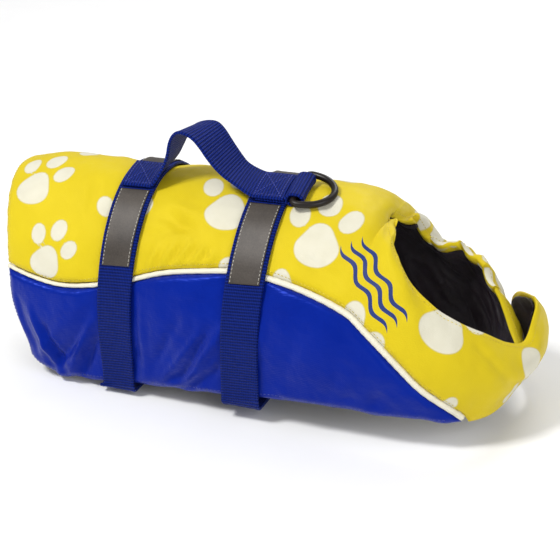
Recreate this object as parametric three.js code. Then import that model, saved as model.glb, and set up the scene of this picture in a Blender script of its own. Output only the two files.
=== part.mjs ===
// Dog life jacket: a hollow, foam-filled saddle of nylon that wraps a dog's back, sides and chest,
// with two webbing belly straps, a lifting handle, reflective tapes and a lead ring in a webbing loop.
// Units are millimetres. +X points to the head, +Z up, and -Y is the dog's right side.
// The origin is on the inner face of the back, over the spine, midway between the belly straps.

import * as THREE from 'three';
import { mergeVertices } from 'three/addons/utils/BufferGeometryUtils.js';

// Driving dimensions
const seamGap = 0.3;
const foamWall = 6.2;
const flapWall = 3.4;
const flapClearance = 3;
const edgeDip = 3.2;
const edgeRoll = 10;
const liningWall = 1.2;
const liningGap = 0.95;
const layerGap = 0.5;
const webbingWidth = 25;
const webbingWall = 1.6;
const tapeWidth = 20;
const tapeWall = 0.5;
const pipingBead = 3.2;
const strapPlaces = { rear: -46.5, front: 40.5 };
const tapeReach = { rear: 78, front: 80 };
const bellyDrop = { rear: 1.8, front: 5.5 };
const strapLean = 3;
// The jacket lies rolled a little on its form, so its centre line is this far down the right side.
const centreArc = 14;
const patchLength = 21;
const loopReach = 6;
const ringWidth = 36;
const ringReach = 26;
const ringBar = 4.4;
const ringClearance = 0.4;
const buckle = { length: 36, width: 31, height: 8 };

// Each rib of the jacket runs from the spine or the neck edge, over the widest point of the side,
// to the hem. x is along the back, y is outward from the middle plane and z is up, on the outer face.
// full is how round the rib's crown is, lean tips its start downhill, piping is the seam's height,
// and farDrop is how much lower the neck edge lies on the far side.
const ribColumns = ['topX', 'topY', 'topZ', 'sideX', 'sideY', 'sideZ', 'hemX', 'hemY', 'hemZ',
  'full', 'lean', 'piping', 'farDrop'];
const asRib = (row) => Object.fromEntries(ribColumns.map((column, i) => [column, row[i]]));
const ribs = [
  [-139, 0, 0, -125, 54, -66, -116, 48, -116, 0.55, 0, -52, 0],
  [-118, 0, 5, -107, 58, -68, -98, 54, -124, 0.55, 0, -55, 0],
  [-92, 0, 6.5, -86, 60, -70, -80, 57, -124, 0.55, 0, -57, 0],
  [-66, 0, 7, -64, 61, -70, -62, 58, -122, 0.55, 0, -54, 0],
  [-40, 0, 7.5, -40, 63, -70, -40, 60, -119, 0.55, 0, -47, 0],
  [-14, 0, 8, -14, 65, -71, -14, 62, -117, 0.55, 0, -38, 0],
  [12, 0, 8, 12, 67, -72, 12, 64, -114, 0.54, 0, -33, 0],
  [38, 0, 8.5, 38, 69, -74, 38, 67, -111, 0.53, 0, -30, 0],
  [64, 0, 9, 64, 71, -75, 64, 68, -108, 0.52, 0, -32, 0],
  [90, 0, 9, 88, 72, -75, 88, 68, -107, 0.51, 0, -37, 0],
  [115, 0, 7, 108, 72, -75, 108, 68, -107, 0.5, 0, -44.5, 0],
  [118, 14, 4, 121, 72, -75, 124, 68, -107, 0.5, 0.15, -53, 4],
  [123, 28, -2, 133, 71.5, -76, 139, 67, -107, 0.5, 0.3, -63, 12],
  [132, 39, -14, 145, 70, -77, 153, 65, -107, 0.5, 0.45, -75, 15],
  [144, 45, -28, 157, 68, -79, 166, 62, -108, 0.5, 0.5, -88, 8],
  [158, 46, -39, 170, 64, -81, 177, 56, -109, 0.5, 0.5, -102.5, 0],
  [172, 41, -49, 183, 56, -84, 185, 48, -110, 0.5, 0.5, -117, -4],
  [184, 31, -58, 196, 43, -86, 192, 37, -110, 0.5, 0.5, -130, -5],
  [195, 16, -69, 206, 24, -86, 197, 21, -109, 0.5, 0.5, -140, 0],
  [202, 0, -74, 212, 0, -86, 200, 0, -108, 0.5, 0.5, -150, 0],
].map(asRib);

// The outer chest flap goes on past the middle plane, where its free end stands up and off a little.
const flapRibs = [
  [207, -12, -58, 212, -24, -86, 204, -21, -108, 0.5, 0.5, -150, 0],
  [200, -27, -57, 205, -44, -86, 200, -39, -108, 0.5, 0.5, -150, 0],
  [189, -39, -64, 196, -60, -84, 192, -54, -108, 0.5, 0.5, -150, 0],
].map(asRib);
const napeStation = 10;
const chestStation = ribs.length - 1;
const nearFlapEnd = chestStation + 2;
const farFlapEnd = chestStation + 1.2;
const overlapStation = chestStation - 2;

// Largest folds of the cloth: station and height of the middle, half sizes along and down, how far
// the fold slants forward for each millimetre up, and its depth, which is negative for a ridge.
const folds = [
  { station: 1.4, height: -98, along: 0.24, down: 18, slant: 0.046, depth: -1.8 },
  { station: 1.75, height: -109, along: 0.24, down: 18, slant: 0.045, depth: 2.6 },
  { station: 2.1, height: -108, along: 0.22, down: 16, slant: 0.045, depth: -2.2 },
  { station: 2.7, height: -112, along: 0.3, down: 20, slant: 0.02, depth: 2.2 },
  { station: 5.3, height: -108, along: 0.24, down: 18, slant: 0.05, depth: 2 },
  { station: 5.55, height: -106, along: 0.18, down: 14, slant: 0.052, depth: -1.8 },
  { station: 5.8, height: -108, along: 0.2, down: 16, slant: 0.048, depth: 2.4 },
  { station: 8.3, height: -84, along: 0.35, down: 24, slant: 0.01, depth: 2 },
  { station: 14.2, height: -52, along: 0.8, down: 12, slant: 0, depth: 2.2 },
];

const near = -1;
const far = 1;

const mirrored = (rib) => ({ ...rib, topY: -rib.topY, sideY: -rib.sideY, hemY: -rib.hemY });
const nearRibs = [...ribs, ...flapRibs];
const farRibs = [...ribs, ...[1, 2, 3].map((past) => mirrored(ribs[chestStation - past]))];

const clamp = (value, low, high) => Math.min(high, Math.max(low, value));
const smooth = (value, low, high) => {
  const share = clamp((value - low) / (high - low), 0, 1);
  return share * share * (3 - 2 * share);
};

// A rib between the listed ones, by a smooth spline through each column.
function ribAt(station, side = near) {
  const rows = side === near ? nearRibs : farRibs;
  const index = clamp(Math.floor(station), 0, rows.length - 2);
  const share = station - index;
  const pick = (offset) => rows[clamp(index + offset, 0, rows.length - 1)];
  const rib = {};
  for (const column of ribColumns) {
    const [previous, start, end, after] = [pick(-1), pick(0), pick(1), pick(2)].map((row) => row[column]);
    // The neck edge runs on smoothly over the nape to the other side.
    const overNape = index === napeStation && column.startsWith('top');
    const before = overNape ? end * (column === 'topY' ? -1 : 1) : previous;
    const slopeIn = (end - before) / 2;
    const slopeOut = (after - start) / 2;
    const bend = 2 * (start - end) + slopeIn + slopeOut;
    const sweep = 3 * (end - start) - 2 * slopeIn - slopeOut;
    rib[column] = ((bend * share + sweep) * share + slopeIn) * share + start;
  }
  if (station <= napeStation) rib.topY = 0;
  else if (side === far) rib.topZ -= rib.farDrop;
  return rib;
}

// Points down a rib, evenly spaced along the cloth, with the length of the whole rib.
const ribSamples = 48;
const ribCache = new Map();
function ribLine(station, side = near) {
  const key = `${station.toFixed(4)}_${side}`;
  if (ribCache.has(key)) return ribCache.get(key);
  const rib = ribAt(station, side);
  const top = new THREE.Vector3(rib.topX, rib.topY, rib.topZ);
  const widest = new THREE.Vector3(rib.sideX, rib.sideY, rib.sideZ);
  const hem = new THREE.Vector3(rib.hemX, rib.hemY, rib.hemZ);
  const across = widest.clone().sub(top).multiplyScalar(rib.full);
  const sweep = Math.min(1, rib.lean * 2.2);
  const shoulder = top.clone().add(new THREE.Vector3(across.x * sweep, across.y, across.z * rib.lean));
  const flank = widest.clone().add(new THREE.Vector3(0, 0, (top.z - widest.z) * rib.full));
  const belly = widest.clone().add(new THREE.Vector3(0, 0, (hem.z - widest.z) * 0.4));
  const rise = widest.clone().sub(hem);
  const tuck = hem.clone().add(new THREE.Vector3(rise.x * 0.2, rise.y * 0.2, rise.z * 0.4));
  const path = new THREE.CurvePath();
  path.add(new THREE.CubicBezierCurve3(top, shoulder, flank, widest));
  path.add(new THREE.CubicBezierCurve3(widest, belly, tuck, hem));
  const rough = [];
  path.curves.forEach((curve, order) => {
    curve.getPoints(ribSamples).slice(order === 0 ? 0 : 1).forEach((point) => rough.push(point));
  });
  const reach = [0];
  for (let i = 1; i < rough.length; i += 1) reach.push(reach[i - 1] + rough[i].distanceTo(rough[i - 1]));
  const line = { rough, reach, length: reach[reach.length - 1] };
  ribCache.set(key, line);
  return line;
}

// The outer form at a station and a share of the way down its rib, on one side.
function formPoint(station, down, side) {
  const line = ribLine(station, side);
  const wanted = down * line.length;
  let i = 1;
  while (i < line.reach.length - 1 && line.reach[i] < wanted) i += 1;
  const share = (wanted - line.reach[i - 1]) / (line.reach[i] - line.reach[i - 1]);
  const point = line.rough[i - 1].clone().lerp(line.rough[i], share);
  point.y *= side;
  return point;
}

function formNormal(station, down, side) {
  const step = 0.02;
  const lastStation = nearRibs.length - 1;
  const ahead = formPoint(Math.min(station + 0.1, lastStation), down, side);
  const behind = formPoint(Math.max(station - 0.1, 0), down, side);
  const along = ahead.sub(behind);
  const onSpine = station <= napeStation && down < step;
  const upper = onSpine ? formPoint(station, step, -side) : formPoint(station, Math.max(down - step, 0), side);
  const lower = formPoint(station, Math.min(down + step, 1), side);
  const downward = lower.sub(upper);
  return along.cross(downward).multiplyScalar(side).normalize();
}

const placed = (station, down, side, depth) =>
  formPoint(station, down, side).addScaledVector(formNormal(station, down, side), -depth);

// The share of the way down a rib at which it reaches a height.
function shareAtHeight(station, height) {
  let low = 0;
  let high = 1;
  for (let round = 0; round < 24; round += 1) {
    const middle = (low + high) / 2;
    if (formPoint(station, middle, near).z > height) low = middle;
    else high = middle;
  }
  return (low + high) / 2;
}

const pipingShare = (station) => shareAtHeight(station, ribAt(station).piping);
const stationAtX = (x) => {
  let low = 0;
  let high = napeStation;
  for (let round = 0; round < 24; round += 1) {
    const middle = (low + high) / 2;
    if (ribAt(middle).topX < x) low = middle;
    else high = middle;
  }
  return (low + high) / 2;
};
const ribLength = (station) => ribLine(station).length;

// The inner chest flap, from the far side, sinks under the outer one where they overlap.
const flapStack = flapWall + liningWall + liningGap + flapClearance;
const sink = (station, side) => (side === far ? flapStack * smooth(station, overlapStation - 2.2, overlapStation - 0.2) : 0);
const wallAt = (station) => foamWall + (flapWall - foamWall) * smooth(station, overlapStation - 2.2, overlapStation + 0.5);

function foldDepth(station, down, side) {
  const height = formPoint(station, down, side).z;
  const shift = side === far ? 0.15 : 0;
  let depth = 0;
  for (const fold of folds) {
    const slant = fold.slant * (height - fold.height);
    const alongShare = (station - fold.station - shift - slant) / fold.along;
    const downShare = (height - fold.height) / fold.down;
    depth += fold.depth * Math.exp(-(alongShare * alongShare) - downShare * downShare);
  }
  return depth;
}

// A closed body from a sheet of four-sided patches: corners are { key, outer, inner }.
function closedWall(quads) {
  const order = new Map();
  const corners = [];
  const indexOf = (corner) => {
    if (!order.has(corner.key)) {
      order.set(corner.key, corners.length);
      corners.push(corner);
    }
    return order.get(corner.key);
  };
  const faces = [];
  for (const quad of quads) {
    const [a, b, c, d] = quad.map(indexOf);
    for (const face of [[a, b, c], [a, c, d]]) {
      if (new Set(face).size === 3) faces.push(face);
    }
  }
  const count = corners.length;
  const positions = [...corners.map((corner) => corner.outer), ...corners.map((corner) => corner.inner)];
  const triangles = [];
  const edges = new Map();
  for (const [a, b, c] of faces) {
    triangles.push(a, b, c, a + count, c + count, b + count);
    for (const [from, to] of [[a, b], [b, c], [c, a]]) edges.set(`${from}_${to}`, [from, to]);
  }
  for (const [from, to] of edges.values()) {
    if (!edges.has(`${to}_${from}`)) triangles.push(to, from, from + count, to, from + count, to + count);
  }
  const geometry = new THREE.BufferGeometry();
  geometry.setAttribute('position', new THREE.Float32BufferAttribute(positions.flatMap((p) => [p.x, p.y, p.z]), 3));
  geometry.setIndex(triangles);
  return facingOut(geometry);
}

// Turns every face of a closed body round if its volume comes out negative.
function facingOut(geometry) {
  const position = geometry.getAttribute('position');
  const index = geometry.getIndex().array;
  const corner = (i) => new THREE.Vector3().fromBufferAttribute(position, index[i]);
  let volume = 0;
  for (let i = 0; i < index.length; i += 3) {
    volume += corner(i).dot(corner(i + 1).cross(corner(i + 2)));
  }
  if (volume < 0) {
    const turned = [];
    for (let i = 0; i < index.length; i += 3) turned.push(index[i], index[i + 2], index[i + 1]);
    geometry.setIndex(turned);
  }
  return geometry;
}

// A grid of quads over stations and shares; share lists may differ from station to station.
function gridQuads(stations, sharesAt, side, cornerAt) {
  const quads = [];
  const rows = stations.map((station) => sharesAt(station).map((down, column) => cornerAt(station, down, side, column)));
  for (let i = 0; i + 1 < rows.length; i += 1) {
    for (let j = 0; j + 1 < rows[i].length; j += 1) {
      const quad = [rows[i][j], rows[i + 1][j], rows[i + 1][j + 1], rows[i][j + 1]];
      quads.push(side === near ? quad : quad.reverse());
    }
  }
  return quads;
}

const cornerKey = (station, down, side) => {
  const onSpine = station <= napeStation && down < 1e-6;
  return `${station.toFixed(4)}_${down.toFixed(5)}_${onSpine ? 0 : side}`;
};

// Panels thin out to a rolled edge: how far the outer face dips, by the distance to the panel's edges.
const rolled = (distance) => edgeDip * (1 - Math.sin((Math.min(distance, edgeRoll) / edgeRoll) * Math.PI / 2));

function spread(low, high, steps) {
  return Array.from({ length: steps + 1 }, (_, i) => low + ((high - low) * i) / steps);
}

const rearStations = [0, 0.12, 0.36, 0.7];
const saddleStations = [...rearStations, ...spread(1, napeStation, 18)];
const pipingHalf = pipingBead / 2 + seamGap;

// Where the blue side panel comes to its front tip, the piping meets the hem.
const tipStation = 15.25;
const upperEdge = (station) => {
  const length = ribLength(station);
  if (station > tipStation + 0.3) return 1;
  const wanted = pipingShare(station) - seamReach(station) / length;
  return clamp(wanted, 0, 1 - 0.5 / length);
};
const lowerEdge = (station) => pipingShare(station) + seamReach(station) / ribLength(station);

// Half the seam's opening measured down the rib: it is longer where the seam crosses the rib at a slant.
function seamReach(station) {
  const at = (place) => formPoint(place, pipingShare(place), near);
  const seam = at(station + 0.1).sub(at(station - 0.1)).normalize();
  const share = pipingShare(station);
  const rib = formPoint(station, Math.min(share + 0.02, 1), near).sub(formPoint(station, share - 0.02, near)).normalize();
  const cross = Math.sqrt(1 - seam.dot(rib) ** 2);
  return pipingHalf / Math.max(cross, 0.35);
}

function panelCorner(edgesOf) {
  return (station, down, side) => {
    const wall = wallAt(station);
    const lie = sink(station, side);
    const dip = edgesOf(station, down, side).reduce((most, distance) => Math.max(most, rolled(distance)), 0);
    const thinned = Math.min(dip, wall - 2);
    const outer = placed(station, down, side, lie + thinned + foldDepth(station, down, side));
    const inner = placed(station, down, side, lie + wall);
    return { key: cornerKey(station, down, side), outer, inner };
  };
}

const rearDistance = (station) => station * 19;

function upperPanel() {
  const corner = panelCorner((station, down, side) => {
    const length = ribLength(station);
    const end = side === near ? nearFlapEnd : farFlapEnd;
    const distances = [rearDistance(station), (upperEdge(station) - down) * length];
    if (station > napeStation) distances.push(down * length);
    distances.push((end - station) * 18);
    if (station === napeStation && down < 0.15) distances.push(down * length);
    return distances;
  });
  const quads = [];
  for (const side of [near, far]) {
    quads.push(...gridQuads(saddleStations, saddleShares, side, corner));
    const end = side === near ? nearFlapEnd : farFlapEnd;
    const wing = [...spread(napeStation, 15, 10), tipStation, 15.6, 16.1, ...flapStations(end), end - 0.12, end];
    quads.push(...gridQuads(wing, wingShares, side, corner));
  }
  return closedWall(quads);
}

const flapStations = (end) => spread(16.6, end - 0.35, Math.round((end - 17) * 2.6));

const saddleShares = (station) => {
  const lower = upperEdge(station);
  const length = ribLength(station);
  return [...spread(0, lower - 6 / length, 7), lower - 2.2 / length, lower];
};
const wingShares = (station) => {
  const lower = upperEdge(station);
  const length = ribLength(station);
  if (station === napeStation) return saddleShares(station);
  return [0, 2.2 / length, ...spread(6 / length, lower - 6 / length, 5), lower - 2.2 / length, lower];
};

// The blue side panel lies between the piping and the hem, from the rear edge to its front tip.
const sideStations = [...rearStations, ...spread(1, 3.1, 9), ...spread(3.4, 4.6, 3), ...spread(4.9, 6.3, 7), ...spread(6.7, 13, 10),
  13.6, 14.2, 14.7, 15, tipStation];
const sideShares = (station) => {
  const upper = lowerEdge(station);
  const height = (1 - upper) * ribLength(station);
  const inset = Math.min(2.2, height / 5) / ribLength(station);
  const further = Math.min(6, height / 2.4) / ribLength(station);
  return [upper, upper + inset, ...spread(upper + further, 1 - further, 6), 1 - inset, 1];
};

function sidePanel(side) {
  const corner = panelCorner((station, down) => {
    const length = ribLength(station);
    return [rearDistance(station), (down - lowerEdge(station)) * length, (1 - down) * length];
  });
  return closedWall(gridQuads(sideStations, sideShares, side, corner));
}

// A closed tube round an open or closed path, with flat ends where it is open.
function tube(points, radius, sides, closed) {
  const rings = points.map((point, i) => {
    const next = points[closed ? (i + 1) % points.length : Math.min(i + 1, points.length - 1)];
    const last = points[closed ? (i + points.length - 1) % points.length : Math.max(i - 1, 0)];
    const along = next.clone().sub(last).normalize();
    const across = new THREE.Vector3(0, 0.2, 1).cross(along).normalize();
    const up = along.clone().cross(across);
    return Array.from({ length: sides }, (_, k) => {
      const turn = (2 * Math.PI * k) / sides;
      return point.clone()
        .addScaledVector(across, radius * Math.cos(turn))
        .addScaledVector(up, radius * Math.sin(turn));
    });
  });
  return loft(rings, closed);
}

// Joins rings of equal count into one closed body.
function loft(rings, closed = false) {
  const sides = rings[0].length;
  const positions = rings.flat().flatMap((p) => [p.x, p.y, p.z]);
  const triangles = [];
  const spans = closed ? rings.length : rings.length - 1;
  for (let i = 0; i < spans; i += 1) {
    const here = i * sides;
    const there = ((i + 1) % rings.length) * sides;
    for (let k = 0; k < sides; k += 1) {
      const next = (k + 1) % sides;
      triangles.push(here + k, there + k, there + next, here + k, there + next, here + next);
    }
  }
  if (!closed) {
    const last = (rings.length - 1) * sides;
    for (let k = 0; k + 1 < sides / 2; k += 1) {
      const [a, b, c, d] = [k, k + 1, sides - 2 - k, sides - 1 - k];
      triangles.push(a, b, c, a, c, d);
      triangles.push(last + a, last + c, last + b, last + a, last + d, last + c);
    }
  }
  const geometry = new THREE.BufferGeometry();
  geometry.setAttribute('position', new THREE.Float32BufferAttribute(positions, 3));
  geometry.setIndex(triangles);
  return facingOut(geometry);
}

// The piping bead lies in the seam between the upper and the side panel, and ends at the hem.
const pipingEnd = tipStation - 0.1;
function piping(side) {
  const depth = edgeDip - 0.2;
  const line = spread(0, pipingEnd, 44).map((station) => placed(station, pipingShare(station), side, depth));
  return tube(line, pipingBead / 2, 6, false);
}

// The dark lining backs the panels all over, a little inside their edges. It hangs a little clear
// of the panel round the nape.
const liningInset = 2.4;
const napeEase = (station) => 2.2 * (1 - smooth(Math.abs(station - napeStation), 0.2, 1.6));
function lining() {
  const startWing = napeStation - 0.45;
  const shares = (station, open) => {
    const inset = liningInset / ribLength(station);
    return spread(open ? inset : 0, 1 - inset, 10);
  };
  const corner = (station, down, side) => {
    const depth = sink(station, side) + wallAt(station) + liningGap + napeEase(station);
    return {
      key: cornerKey(station, down, side),
      outer: placed(station, down, side, depth),
      inner: placed(station, down, side, depth + liningWall),
    };
  };
  const quads = [];
  for (const side of [near, far]) {
    const end = side === near ? nearFlapEnd : farFlapEnd;
    quads.push(...gridQuads([0.12, ...spread(0.8, startWing, 10)], (station) => shares(station, false), side, corner));
    const wing = [startWing, ...spread(napeStation + 0.3, 16, 9), ...flapStations(end), end - 0.15];
    quads.push(...gridQuads(wing, (station) => shares(station, station > startWing), side, corner));
  }
  return closedWall(quads);
}

// Webbing sections: four corners, from the two edges of its face and the directions across its wall.
function webbingRing(left, right, leftOut, rightOut, wall) {
  return [
    left.clone().addScaledVector(leftOut, -wall / 2),
    right.clone().addScaledVector(rightOut, -wall / 2),
    right.clone().addScaledVector(rightOut, wall / 2),
    left.clone().addScaledVector(leftOut, wall / 2),
  ];
}

// One webbing section lying on the panels, raised above their outer form. A strap leans forward
// as it climbs from the hem, where its middle is at x, to the spine.
function sectionOn(x, width, down, side, height, wall) {
  const edge = (offset) => {
    const station = stationAtX(x + offset + strapLean * (1 - down));
    return { at: placed(station, down, side, -height - wall / 2), out: formNormal(station, down, side) };
  };
  const left = edge(-width / 2);
  const right = edge(width / 2);
  return webbingRing(left.at, right.at, left.out, right.out, wall);
}

const strapHeight = 0.35;

// A belly strap leaves one end of its buckle, goes up one side, over the back and down the other.
function bellyStrap(x, drop) {
  const hemRing = sectionOn(x, webbingWidth, 1, near, strapHeight, webbingWall);
  const hemY = -hemRing[0].y + webbingWall / 2;
  const hemZ = hemRing[0].z;
  const flat = hemZ - drop;
  const under = (side) => {
    const rings = [];
    const place = (y, z, outY, outZ) => {
      const out = new THREE.Vector3(0, side * outY, outZ);
      const left = new THREE.Vector3(x - webbingWidth / 2, side * y, z);
      const right = new THREE.Vector3(x + webbingWidth / 2, side * y, z);
      rings.push(webbingRing(left, right, out, out, webbingWall));
    };
    for (const y of [buckle.length / 2 + seamGap, hemY * 0.5, hemY * 0.75]) place(y, flat, 0, -1);
    for (const turn of [0, 22, 45, 68]) {
      const angle = THREE.MathUtils.degToRad(turn);
      place(hemY - drop + drop * Math.sin(angle), flat + drop - drop * Math.cos(angle), Math.sin(angle), -Math.cos(angle));
    }
    return rings;
  };
  const up = (side) => spread(1, 0, 22).map((down) => sectionOn(x, webbingWidth, down, side, strapHeight, webbingWall));
  const nearHalf = [...under(near), ...up(near)];
  const farHalf = [...under(far), ...up(far).slice(0, -1)].reverse();
  return loft([...nearHalf, ...farHalf]);
}

// Reflective tape sewn on the outer face of a strap, from beside the handle's root patch down.
function tape(x, reach, side) {
  const length = ribLength(stationAtX(x));
  const height = strapHeight + webbingWall + layerGap;
  const start = webbingWidth / 2 + 1.5 - side * centreArc;
  return loft(spread(Math.max(start, 1.5) / length, reach / length, 10)
    .map((down) => sectionOn(x, tapeWidth, down, side, height, tapeWall)));
}

// A place on the back: along the spine, across from the jacket's centre line, and up from the panel.
// flat is 0 where the webbing follows the round of the back and 1 where it lies straight across.
function backPoint(x, across, height, flat) {
  const station = stationAtX(x);
  const length = ribLength(station);
  const arc = across - centreArc;
  const follow = placed(station, Math.abs(arc) / length, arc < 0 ? near : far, -height);
  const centre = placed(station, centreArc / length, near, -height);
  const up = formNormal(station, centreArc / length, near);
  const sideways = new THREE.Vector3(0, up.z, -up.y).normalize();
  return follow.lerp(centre.addScaledVector(sideways, across), flat);
}

const acrossShares = [-1, -0.5, 0, 0.5, 1];
const acrossHalf = webbingWidth / 2;

// Webbing that runs along the back, from rows of { x, height, flat }, height being to its middle.
function webbingAlong(rows) {
  const middle = (row) => new THREE.Vector3(row.x, 0, row.height);
  return rows.map((row, i) => {
    const along = middle(rows[Math.min(i + 1, rows.length - 1)]).sub(middle(rows[Math.max(i - 1, 0)])).normalize();
    const at = (level) => acrossShares.map((share) =>
      backPoint(row.x - along.z * level, share * acrossHalf, row.height + along.x * level, row.flat));
    return [...at(-webbingWall / 2), ...at(webbingWall / 2).reverse()];
  });
}

// The handle: flat roots sewn across the straps on the spine, with a slightly twisted arch between.
const rootMiddle = strapHeight + webbingWall + layerGap + webbingWall / 2;
const frontRootMiddle = rootMiddle + webbingWall + layerGap + 0.2;
const archSides = [
  { nearX: -25.5, nearZ: 18, farX: -26, farZ: 19 },
  { nearX: -22.5, nearZ: 26, farX: -22.5, farZ: 26 },
  { nearX: -21.5, nearZ: 33.5, farX: -19, farZ: 33 },
  { nearX: -19, nearZ: 39.5, farX: -14, farZ: 39 },
  { nearX: -15, nearZ: 42.5, farX: -8, farZ: 42.5 },
  { nearX: -7, nearZ: 40.5, farX: 1, farZ: 44 },
  { nearX: -1, nearZ: 34.5, farX: 6, farZ: 40 },
  { nearX: 5, nearZ: 26, farX: 11, farZ: 32.5 },
  { nearX: 13, nearZ: 18, farX: 17, farZ: 24 },
  { nearX: 21, nearZ: 13.5, farX: 22, farZ: 18 },
];

function archSection(rows, i) {
  const edge = (row, side) => (side === near
    ? new THREE.Vector3(row.nearX, -acrossHalf - centreArc, row.nearZ)
    : new THREE.Vector3(row.farX, acrossHalf - centreArc, row.farZ));
  const row = rows[i];
  const before = rows[Math.max(i - 1, 0)];
  const after = rows[Math.min(i + 1, rows.length - 1)];
  const at = (level) => acrossShares.map((share) => {
    const mix = (share + 1) / 2;
    const middle = edge(row, near).lerp(edge(row, far), mix);
    const start = edge(before, near).lerp(edge(before, far), mix);
    const end = edge(after, near).lerp(edge(after, far), mix);
    const along = end.sub(start);
    const out = new THREE.Vector3(-along.z, 0, along.x).normalize();
    return middle.addScaledVector(out, level);
  });
  return [...at(-webbingWall / 2), ...at(webbingWall / 2).reverse()];
}

function handle() {
  const rear = strapPlaces.rear + strapLean;
  const front = strapPlaces.front + strapLean;
  const half = patchLength / 2;
  const rowsAt = (x, height) => spread(x - half, x + half, 3).map((place) => ({ x: place, height, flat: 0 }));
  const arch = archSides.map((_, i) => archSection(archSides, i));
  const rearRoot = webbingAlong(rowsAt(rear, rootMiddle + 0.3));
  const frontRoot = webbingAlong(rowsAt(front, frontRootMiddle));
  return loft([...rearRoot, ...arch, ...frontRoot]);
}

// The lead ring lies in a loop of webbing that starts under the front root and folds round its bar.
const loopFloor = 0.4 + webbingWall / 2;
const barHeight = loopFloor + webbingWall / 2 + ringClearance + ringBar / 2;
const loopRoof = barHeight + ringBar / 2 + ringClearance + webbingWall / 2;
const rootEdge = strapPlaces.front + strapLean + patchLength / 2;
const strapEdge = strapPlaces.front + strapLean + webbingWidth / 2;
const ringX = strapEdge + 4.7;
const loopTip = ringX + loopReach;
const loopRows = [
  { x: rootEdge - 18, height: rootMiddle + 0.4, flat: 0 },
  { x: rootEdge - 9, height: rootMiddle + 0.15, flat: 0 },
  { x: strapEdge + 0.5, height: rootMiddle, flat: 0 },
  { x: strapEdge + 2, height: loopFloor, flat: 0 },
  { x: loopTip - 3.2, height: loopFloor, flat: 0 },
  { x: loopTip - 1.1, height: loopFloor + 1.1, flat: 0.3 },
  { x: loopTip - 0.3, height: (loopFloor + loopRoof) / 2, flat: 0.5 },
  { x: loopTip - 1.1, height: loopRoof - 1.1, flat: 0.9 },
  { x: loopTip - 3.2, height: loopRoof, flat: 1 },
  { x: strapEdge + 2.4, height: loopRoof, flat: 1 },
  { x: strapEdge + 0.6, height: loopRoof - 1.4, flat: 0.8 },
  { x: rootEdge + 1.2, height: frontRootMiddle, flat: 0.4 },
];

const ringLoop = () => loft(webbingAlong(loopRows));

// The lead ring: a D of round bar that rests on the back, hinged on its straight side.
const ringTip = ringReach - ringBar;
const ringCorner = 3;
const ringDroop = 1.6 / ringTip;
function ring() {
  const half = ringWidth / 2 - ringBar / 2;
  const outline = [
    ...spread(-90, 90, 14).map((turn) => {
      const angle = THREE.MathUtils.degToRad(turn);
      return [ringCorner + (ringTip - ringCorner) * Math.cos(angle), half * Math.sin(angle)];
    }),
    ...[45, 90].map((turn) => {
      const angle = THREE.MathUtils.degToRad(turn);
      return [ringCorner * (1 - Math.sin(angle)), half - ringCorner * (1 - Math.cos(angle))];
    }),
    [0, 0],
    ...[90, 45].map((turn) => {
      const angle = THREE.MathUtils.degToRad(turn);
      return [ringCorner * (1 - Math.sin(angle)), -half + ringCorner * (1 - Math.cos(angle))];
    }),
  ];
  const station = stationAtX(ringX);
  const bar = backPoint(ringX, 0, barHeight, 1);
  const up = formNormal(station, centreArc / ribLength(station), near);
  const sideways = new THREE.Vector3(0, up.z, -up.y).normalize();
  const forward = sideways.clone().cross(up).normalize();
  const place = ([x, y]) => bar.clone()
    .addScaledVector(forward, x)
    .addScaledVector(sideways, y)
    .addScaledVector(up, -x * ringDroop);
  return tube(outline.map(place), ringBar / 2, 10, true);
}

// Each belly strap is fastened under the belly by a plain side-release buckle, shown closed.
function strapBuckle(x, drop) {
  const level = sectionOn(x, webbingWidth, 1, near, strapHeight, webbingWall)[0].z - drop;
  const bevel = 1.6;
  const halfLength = buckle.length / 2 - bevel;
  const halfWidth = buckle.width / 2 - bevel;
  const corner = 4;
  const outline = new THREE.Shape();
  outline.moveTo(-halfWidth + corner, -halfLength);
  outline.lineTo(halfWidth - corner, -halfLength);
  outline.quadraticCurveTo(halfWidth, -halfLength, halfWidth, -halfLength + corner);
  outline.lineTo(halfWidth, halfLength - corner);
  outline.quadraticCurveTo(halfWidth, halfLength, halfWidth - corner, halfLength);
  outline.lineTo(-halfWidth + corner, halfLength);
  outline.quadraticCurveTo(-halfWidth, halfLength, -halfWidth, halfLength - corner);
  outline.lineTo(-halfWidth, -halfLength + corner);
  outline.quadraticCurveTo(-halfWidth, -halfLength, -halfWidth + corner, -halfLength);
  const geometry = new THREE.ExtrudeGeometry(outline, {
    depth: buckle.height - 2 * bevel,
    bevelThickness: bevel,
    bevelSize: bevel,
    bevelSegments: 2,
    curveSegments: 4,
  });
  geometry.translate(x, 0, level - buckle.height / 2 + bevel);
  return geometry;
}

const material = (color, roughness, metalness = 0) => new THREE.MeshStandardMaterial({ color, roughness, metalness });
const materials = {
  yellow: material('#E8D42A', 0.6),
  blue: material('#1C2CA4', 0.5),
  cream: material('#F6F3E4', 0.6),
  lining: material('#120A14', 0.9),
  webbing: material('#1A2A92', 0.75),
  tape: material('#7C736A', 0.45),
  ring: material('#241812', 0.4),
};

const jacket = new THREE.Group();
function add(name, geometry, finish) {
  const mesh = new THREE.Mesh(geometry, finish);
  mesh.name = name;
  jacket.add(mesh);
  return mesh;
}

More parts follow.
